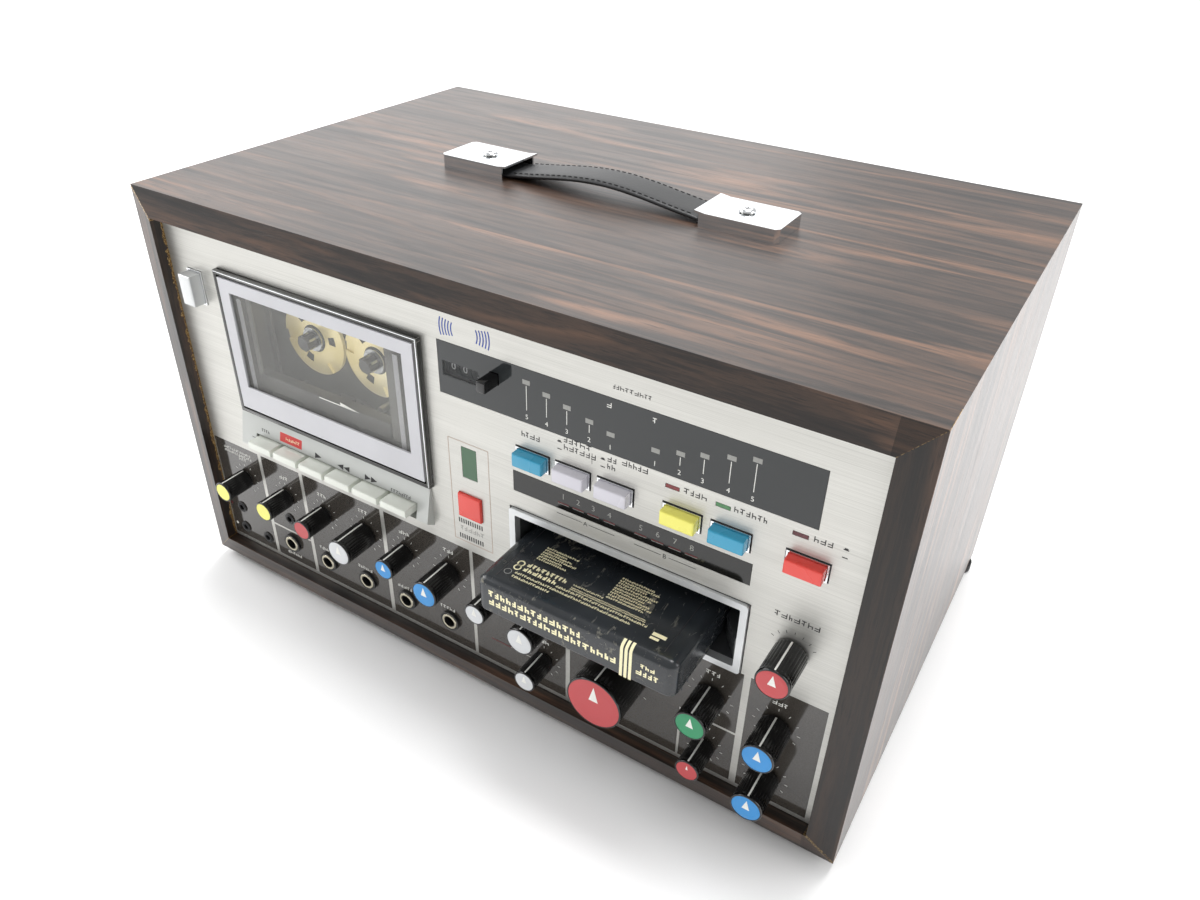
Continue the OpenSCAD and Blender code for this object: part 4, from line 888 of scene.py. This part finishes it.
# painted shade: a thin dark line round each chrome frame, drawn in black ink where the frame's edge meets the
# panel
for node in ("select", "tape_type", "side", "cue", "start", "power"):
    lo, hi = corners("button_" + node)
    gap = 1.5 * MM
    black.frame(lo[0] - gap, lo[2] - gap, hi[0] + gap, hi[2] + gap, 0.28 * MM)
# painted shade: the same dark line round the cartridge slot's frame
black.frame(25.65 * MM, FOOT + 87.75 * MM, 148.35 * MM, FOOT + 128.25 * MM, 0.35 * MM)

# curved strokes left and right of a bare place, about one centre
for k in range(5):
    r = (7.2 + 1.6 * k) * MM
    half = math.degrees(math.asin((3.2 + 0.3 * k) * MM / r))
    for mid in (0, 180):
        blue.arc(gx(1.05), gz(51.25), r, mid - half, mid + half, 0.62 * MM, 12)

for layer in LAYERS:
    layer.build()


# ---- key bezel

def on_bezel(a, b, lift):
    """Sloped face: y runs in a straight line from the bottom edge to the top one."""
    z0, z1 = FOOT + (94.8 + 4.4) * MM, FOOT + 118.6 * MM
    y0, y1 = PY - 5.2 * MM, PY - 0.9 * MM
    t = (b - z0) / (z1 - z0)
    return np.stack([a, y0 + (y1 - y0) * t - lift, b], -1)


label = Marks("bezel_marks", BLACK_INK, on_bezel)


def arrow(layer, x, z, w, h, way):
    """Solid triangle that points left or right."""
    w, h = w * way, h * way
    layer.poly([(gx(x) - w, gz(z) - h), (gx(x) + w, gz(z)), (gx(x) - w, gz(z) + h)])


arrow(label, -24.0, 26.6, 2.3 * MM, 1.5 * MM, 1)
for x in (-20.1, -19.05):
    arrow(label, x, 26.6, 2.1 * MM, 1.5 * MM, -1)
for x in (-15.4, -14.35):
    arrow(label, x, 26.6, 2.1 * MM, 1.5 * MM, 1)
label.blur(gx(-34.5), gz(26.9) - 0.8 * MM, 1.5 * U, 1.7 * MM, 80)
label.blur(gx(-11.6), gz(26.4) - 0.8 * MM, 3.2 * U, 1.7 * MM, 81)
label.box(gx(-36.3), gz(25.35), gx(-26.9), gz(25.42))
label.build()
red = Marks("bezel_red", RED_INK, on_bezel)
red.box(gx(-31.0), gz(26.5), gx(-27.0), gz(27.75))
red.build()
note = Marks("bezel_red_caption", CREAM_INK, lambda a, b, lift: on_bezel(a, b, lift + 0.07 * MM))
note.blur(gx(-29.9), gz(27.1) - 0.8 * MM, 2.3 * U, 1.6 * MM, 82)
note.build()


# ---- cassette door and deck

win, win_end = corners("door_window")
glass = Marks("window_arrow", WHITE_INK, facing_front(win[1]), "cassette_door")
glass.line(gx(-22.2), gz(36.0), gx(-16.2), gz(36.0), 0.5 * MM)
glass.poly([(gx(-18.6), gz(36.0)), (gx(-15.6), gz(36.0)), (gx(-18.6), gz(36.45))])
glass.build()


def bars(rows, y_front, y_back, r):
    """Round-edged bars between two depths: rows are left, low, right, high."""
    return join([rounded_block((a, y_front, b), (c, y_back, d), r, 2) for a, b, c, d in rows])


# seen through the window: the cassette's shelf and the two cheeks beside it
SHELF_GREY = moulded("shelf_grey", srgb(84, 83, 80), 0.4, 0.2)
shelf = rounded_block((win[0] + 1 * MM, PY + 2.4 * MM, win[2] + 0.5 * MM),
                      (win_end[0] - 19 * MM, PY + 8.8 * MM, win[2] + 9.5 * MM), 0.6 * MM, 3)
piece("cassette_shelf", *shelf, SHELF_GREY, "cassette_door")
CHEEK_GREY = moulded("cheek_grey", srgb(120, 119, 115), 0.62, 0.2)
inset = 0.6 * MM
cheeks = bars([(win[0] + inset, win[2] + 0.5 * MM, win[0] + 8.5 * MM, win_end[2] - 0.5 * MM),
               (win_end[0] - 18.5 * MM, win[2] + 0.5 * MM, win_end[0] - inset, win_end[2] - 0.5 * MM)],
              PY + 2.6 * MM, PY + 3.6 * MM, 0.3 * MM)
piece("cassette_cheeks", *cheeks, CHEEK_GREY, "cassette_door")

# bright lines at the top and right of the well's rim, and the black rim itself
(x0, y0, z0), (x1, y1, z1) = corners("cassette_well")
near, far = 0.35 * MM, 0.95 * MM
trim = bars([(x0 + inset, z1 - far, x1 - 0.3 * MM, z1 - near),
             (x1 - far, z0 + inset, x1 - near, z1 - far - 0.01 * MM)],
            y0 - 0.3 * MM, y0 + 0.3 * MM, 0.15 * MM)
piece("deck_trim", *trim, CHROME, "cabinet", "chrome")
wide, grown = 2.02 * MM, 0.03 * MM
rim = [(x0, z1 - wide, x1, z1), (x0, z0, x1, z0 + wide), (x0, z0 + wide, x0 + wide, z1 - wide),
       (x1 - wide, z0 + wide, x1, z1 - wide)]
rim = [(a - grown, b - grown, c + grown, d + grown) for a, b, c, d in rim]
rim = bars(rim, y0 - 0.04 * MM, PY - 0.05 * MM, 0.3 * MM)
piece("deck_rim", *rim, GLOSS_BLACK)


# ---- jacks

def jack_nut(name, x, h, r, rim, out, look):
    """Turned ring with a rounded lip and a bevelled throat, closed at its back."""
    z = FOOT + h * MM
    radii = np.array([r, r + 0.25, r + 0.5, rim - 0.45, rim - 0.12, rim, rim]) * MM
    depth = np.array([-0.6, -out + 0.15, -out, -out, -out + 0.25, -out + 0.7, 0.0]) * MM
    sides = 56
    pts, faces = turned((x * MM, PY, z), radii, depth, sides)
    last = sides * (len(radii) - 1)
    back = [[last + i, last + (i + 1) % sides, (i + 1) % sides, i] for i in range(sides)]
    faces = faces[:-2] + back
    piece(name, pts, faces, look, angle=40)


for i, (x, h) in enumerate(JACKS):
    jack_nut("jack_ring_%d" % (i + 1), x, h, 3.22, 4.95, 2.3, NICKEL)
for i, (x, h) in enumerate(((-179.6, 40), (-180, 24.6), (-160.3, 24.8), (-136.4, 49.4))):
    jack_nut("small_jack_ring_%d" % (i + 1), x, h, 1.82, 3.0, 1.0, BLACK)


# ---- handle strap

def strap():
    """Grip carried along an arch: at each step the section is a flat oval whose crown and rounded
    edges come from a superellipse; the ends lie flat in the caps."""
    low, high = corners("handle_strap")
    half_w = (high[1] - low[1]) / 2
    cy = (low[1] + high[1]) / 2
    z0 = CAB_TOP + 0.5 * MM
    arch, lift = 56.5 * MM, 6.2 * MM
    grip, flat = 3.2 * MM, 2.4 * MM

    def rise(t):
        return lift * (0.5 + 0.5 * np.cos(np.pi * t)) * 0.55 + lift * (1 - t ** 2) * 0.45

    x = np.linspace(-1, 1, 121) * (high[0] - 1 * MM)
    t = np.clip(np.abs(x) / arch, 0, 1)
    thick = np.where(np.abs(x) > arch, flat, grip)
    thick = np.convolve(np.pad(thick, 4, mode="edge"), np.ones(9) / 9, "valid")
    a = np.linspace(0, 2 * np.pi, 40, endpoint=False)
    ca, sa = np.cos(a), np.sin(a)
    sy = np.sign(ca) * np.abs(ca) ** 0.45 * half_w
    sz = np.sign(sa) * np.abs(sa) ** 0.75
    bead = 0.12 * MM * np.exp(-((np.abs(sy) - half_w * 0.86) / (0.5 * MM)) ** 2) * (sa > 0)
    pts = np.empty((len(x), len(a), 3))
    pts[..., 0] = x[:, None]
    pts[..., 1] = cy + sy[None, :]
    pts[..., 2] = (z0 + rise(t) + thick / 2)[:, None] + sz[None, :] * thick[:, None] / 2 - bead[None, :]
    faces = tube_faces(len(x), len(a))
    obj = piece("strap_grip", pts.reshape(-1, 3), faces, strap_finish(), "cabinet", "strap", 60)
    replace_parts(obj, "handle_strap")
    # stitches along both edges
    half = np.array([1.15, 0.22, 0.2]) * MM
    stitch, faces = rounded_block(-half, half, 0.18 * MM, 1)
    parts = []
    for side in (-1, 1):
        for at in np.arange(-52, 52.1, 3.4) * MM:
            t = abs(at) / arch
            slope = -lift * (0.275 * np.pi * np.sin(np.pi * t) + 0.9 * t) / arch * math.copysign(1, at)
            z = z0 + rise(t) + grip * 0.93 + stitch[:, 2] + stitch[:, 0] * slope
            y = cy + side * half_w * 0.84 + stitch[:, 1]
            parts.append((np.stack([at + stitch[:, 0], y, z], -1), faces))
    thread = moulded("thread_black", srgb(14, 14, 15), 0.5, 0.3)
    piece("strap_stitches", *join(parts), thread, angle=60)


strap()


def cap_screws():
    """Low round head in each cap, turned about its axis, with two crossed slots painted in dark ink for their
    shade.
    """
    low, high = corners("handle_brackets")
    cy, top, from_end = (low[1] + high[1]) / 2, high[2], 22.2 * MM
    radii = np.array([4.1, 4.0, 3.7, 3.3, 2.8, 1.2, 0.02]) * MM
    height = np.array([-0.2, 0.1, 0.45, 0.74, 0.86, 0.88, 0.88]) * MM
    heads = []
    slot_shade = Marks("cap_screw_slot_shade", BLACK_INK, facing_up(top + height[-1]), "cabinet", 0.03 * MM)
    for cx in (low[0] + from_end, high[0] - from_end):
        pts, faces = turned((0, 0, 0), radii, -height, 40)
        head = np.stack([cx + pts[:, 0], cy + pts[:, 2], top - pts[:, 1]], -1)
        heads.append((head, [f[::-1] for f in faces]))
        # painted shade: the slots are dark ink strips on the head, standing in for the shade in cut slots
        for a0, b0, a1, b1 in ((-1.5, -0.3, 1.5, 0.3), (-0.3, -1.5, 0.3, -0.31), (-0.3, 0.31, 0.3, 1.5)):
            slot_shade.box(cx + a0 * MM, cy + b0 * MM, cx + a1 * MM, cy + b1 * MM)
    look = nodes["handle_brackets"].data.materials[0]
    piece("cap_screw_heads", *join(heads), look, angle=40)
    slot_shade.build()


cap_screws()


# ---- cartridge

SHELL = shell_finish()
COVER = 0.06 * MM  # thickness that the shell adds
ROUND_XY, ROUND_Z = 4.6 * MM, 3.2 * MM
cl, ch = corners("cartridge")
TOP = ch[2] + COVER
NOSE = cl[1] - COVER


def cartridge_shell():
    """Smooth shell over the cartridge's core: a block with well-rounded front corners and top edge,
    which ends short of the inner end."""
    low, high = cl - COVER, ch + COVER
    high[1] -= 8 * MM
    pts, faces = rounded_block(low, high, (ROUND_XY, ROUND_XY, ROUND_Z), 8)
    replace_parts(piece("cartridge_shell", pts, faces, SHELL, "cartridge", "cartridge"), "cartridge")


def cartridge_end():
    """Inner end with its mouths: the last 16 mm of the model's own solid, its cut closed inside the shell."""
    bm = bmesh.new()
    bm.from_mesh(nodes["cartridge"].data)
    bmesh.ops.remove_doubles(bm, verts=bm.verts, dist=1e-6)
    got = bmesh.ops.bisect_plane(bm, geom=bm.verts[:] + bm.edges[:] + bm.faces[:],
                                 plane_co=(0, ch[1] - 16 * MM, 0), plane_no=(0, 1, 0), clear_inner=True)
    rim = [e for e in got["geom_cut"] if isinstance(e, bmesh.types.BMEdge)]
    bmesh.ops.triangle_fill(bm, edges=rim, use_beauty=True)
    bmesh.ops.recalc_face_normals(bm, faces=bm.faces)
    bm.verts.index_update()
    pts = [v.co[:] for v in bm.verts]
    faces = [[v.index for v in f.verts] for f in bm.faces]
    bm.free()
    piece("cartridge_end", pts, faces, SHELL, "cartridge", "cartridge", mend=False)


cartridge_shell()
cartridge_end()
paint("cartridge", SHELL)
x0, y0, z0 = cl

cream = Marks("cartridge_print_top", CREAM_INK, facing_up(TOP), "cartridge", 0.05 * MM)
for right, up, seed, lengths in ((16, 33.0, 110, (18, 12, 15, 19, 13, 16)),
                                 (56, 34.0, 120, (17, 20, 14, 21, 19, 16, 20, 22, 18))):
    for k, w in enumerate(lengths):
        cream.blur(x0 + right * MM, y0 + (up - 1.75 * k) * MM, w * MM, 1.15 * MM, seed + k, 1, 0.26)
for right, up, w, h, *rest in (
        (15.5, 17.6, 21, 2.5, 92, 1, 0.28), (15.5, 14.2, 17, 2.5, 99, 1, 0.28),
        (40, 18.4, 15, 1.0, 93, 1, 0.22), (40, 16.6, 38, 0.7, 89, 2, 0.22),
        (34, 13.4, 46, 1.35, 88, 1, 0.22), (13.5, 10.9, 60, 1.35, 94, 1, 0.22),
        (13.5, 8.3, 20, 1.35, 87, 1, 0.22)):
    cream.blur(x0 + right * MM, y0 + up * MM, w * MM, h * MM, *rest)
cream.box(x0 + 84 * MM, y0 + 11.2 * MM, x0 + 90.5 * MM, y0 + 13.2 * MM)
cream.box(x0 + 84 * MM, y0 + 9.0 * MM, x0 + 88.2 * MM, y0 + 10.4 * MM)
for up in (17.9, 14.9):
    cream.arc(x0 + 12.3 * MM, y0 + up * MM, 1.6 * MM, 0, 360, 0.7 * MM, 22)
cream.build()
pale_ring = Marks("cartridge_ring", PALE_INK, facing_up(TOP), "cartridge", 0.04 * MM)
pale_ring.arc(x0 + 10.2 * MM, y0 + 10.4 * MM, 1.7 * MM, 0, 360, 0.28 * MM, 24)
pale_ring.build()
STRIPES = [(x0 + (75.5 + 2.2 * k) * MM, x0 + (76.9 + 2.2 * k) * MM) for k in range(3)]
front = Marks("cartridge_print_front", CREAM_INK, facing_front(NOSE), "cartridge", 0.05 * MM)
for right, up, w, h, seed, bold in ((7, 12.0, 50, 3.4, 95, 0.26), (7, 7.0, 65, 3.4, 96, 0.26),
                                    (85.5, 11.6, 6, 2.2, 97, 0.24), (83.5, 7.2, 10, 2.9, 98, 0.24)):
    front.blur(x0 + right * MM, z0 + up * MM, w * MM, h * MM, seed, 1, bold)
for left, right in STRIPES:
    front.box(left, z0 + 1.6 * MM, right, ch[2] - 3.2 * MM)
front.build()


def on_edge(a, b, lift):
    """Rounded top edge of the shell, b from 0 at the front face to 1 at the top face: an ellipse's
    quarter, y = nose + R (1 - sin t) and z = top - r (1 - cos t), with t = (1 - b) pi / 2."""
    t = (1 - b) * np.pi / 2
    y = NOSE + ROUND_XY - (ROUND_XY + lift) * np.sin(t)
    return np.stack([a, y, TOP - ROUND_Z + (ROUND_Z + lift) * np.cos(t)], -1)


fold = Marks("cartridge_stripes_fold", CREAM_INK, on_edge, "cartridge", 0.05 * MM)
for left, right in STRIPES:
    for i in range(10):
        fold.box(left, i * 0.085, right, (i + 1) * 0.085)
fold.build()
# painted shade: dark lines along the shell's top where its side strips slope down
groove = Marks("cartridge_groove_shade", BLACK_INK, facing_up(TOP), "cartridge", 0.03 * MM)
for left in (x0 + 7.2 * MM, ch[0] - 8.6 * MM):
    groove.box(left, y0 + 5.6 * MM, left + 0.4 * MM, ch[1] - 18 * MM)
groove.build()

# vertical corner rib and grip rib on both sides of the shell
half = np.array([0.28, 0.3, (ch[2] - z0) / MM / 2 - 2.8]) * MM
mids = [np.array([side, y0 + up * MM, (ch[2] + z0) / 2 - 1.8 * MM])
        for side in (cl[0], ch[0]) for up in (7.3, 12.7)]
ribs = [rounded_block(mid - half, mid + half, 0.2 * MM, 2) for mid in mids]
piece("cartridge_ribs", *join(ribs), SHELL, "cartridge")


# ---- studio

def studio():
    """Pale floor that runs out of view, white surroundings, and four soft lamps aimed at the cabinet."""
    mesh = bpy.data.meshes.new("floor")
    mesh.from_pydata([(-6, -6, 0), (6, -6, 0), (6, 6, 0), (-6, 6, 0)], [], [(0, 1, 2, 3)])
    floor = bpy.data.objects.new("floor", mesh)
    m = Finish("floor_paper")
    tone = m.noise(scale=3.0, detail=2.0).fade(0.3, 0.7)
    m.set("Base Color", m.mix(tone, (0.88, 0.88, 0.88, 1), (0.90, 0.90, 0.90, 1)))
    m.set("Roughness", 0.8)
    mesh.materials.append(m.mat)
    show(floor)
    world = bpy.data.worlds.new("surroundings")
    bpy.context.scene.world = world
    world.use_nodes = True
    back = world.node_tree.nodes["Background"]
    back.inputs[0].default_value = (1.0, 1.0, 1.0, 1)
    back.inputs[1].default_value = 0.68
    target = Vector((0, 0, 0.1))
    for name, at, size, power in (
            ("lamp_over", (0.1, 1.25, 4.8), 2.0, 210), ("lamp_right", (1.6, 0.5, 0.9), 1.2, 16),
            ("lamp_left", (-1.1, -0.27, 0.9), 0.8, 12), ("lamp_sheen", (-1.9, 2.3, 1.35), 2.6, 20)):
        data = bpy.data.lights.new(name, "AREA")
        data.size = size
        data.energy = power
        lamp = bpy.data.objects.new(name, data)
        aim = (target - Vector(at)).to_track_quat("-Z", "Y")
        lamp.matrix_world = Matrix.Translation(at) @ aim.to_matrix().to_4x4()
        show(lamp)


studio()
bpy.context.scene.view_settings.view_transform = "Standard"
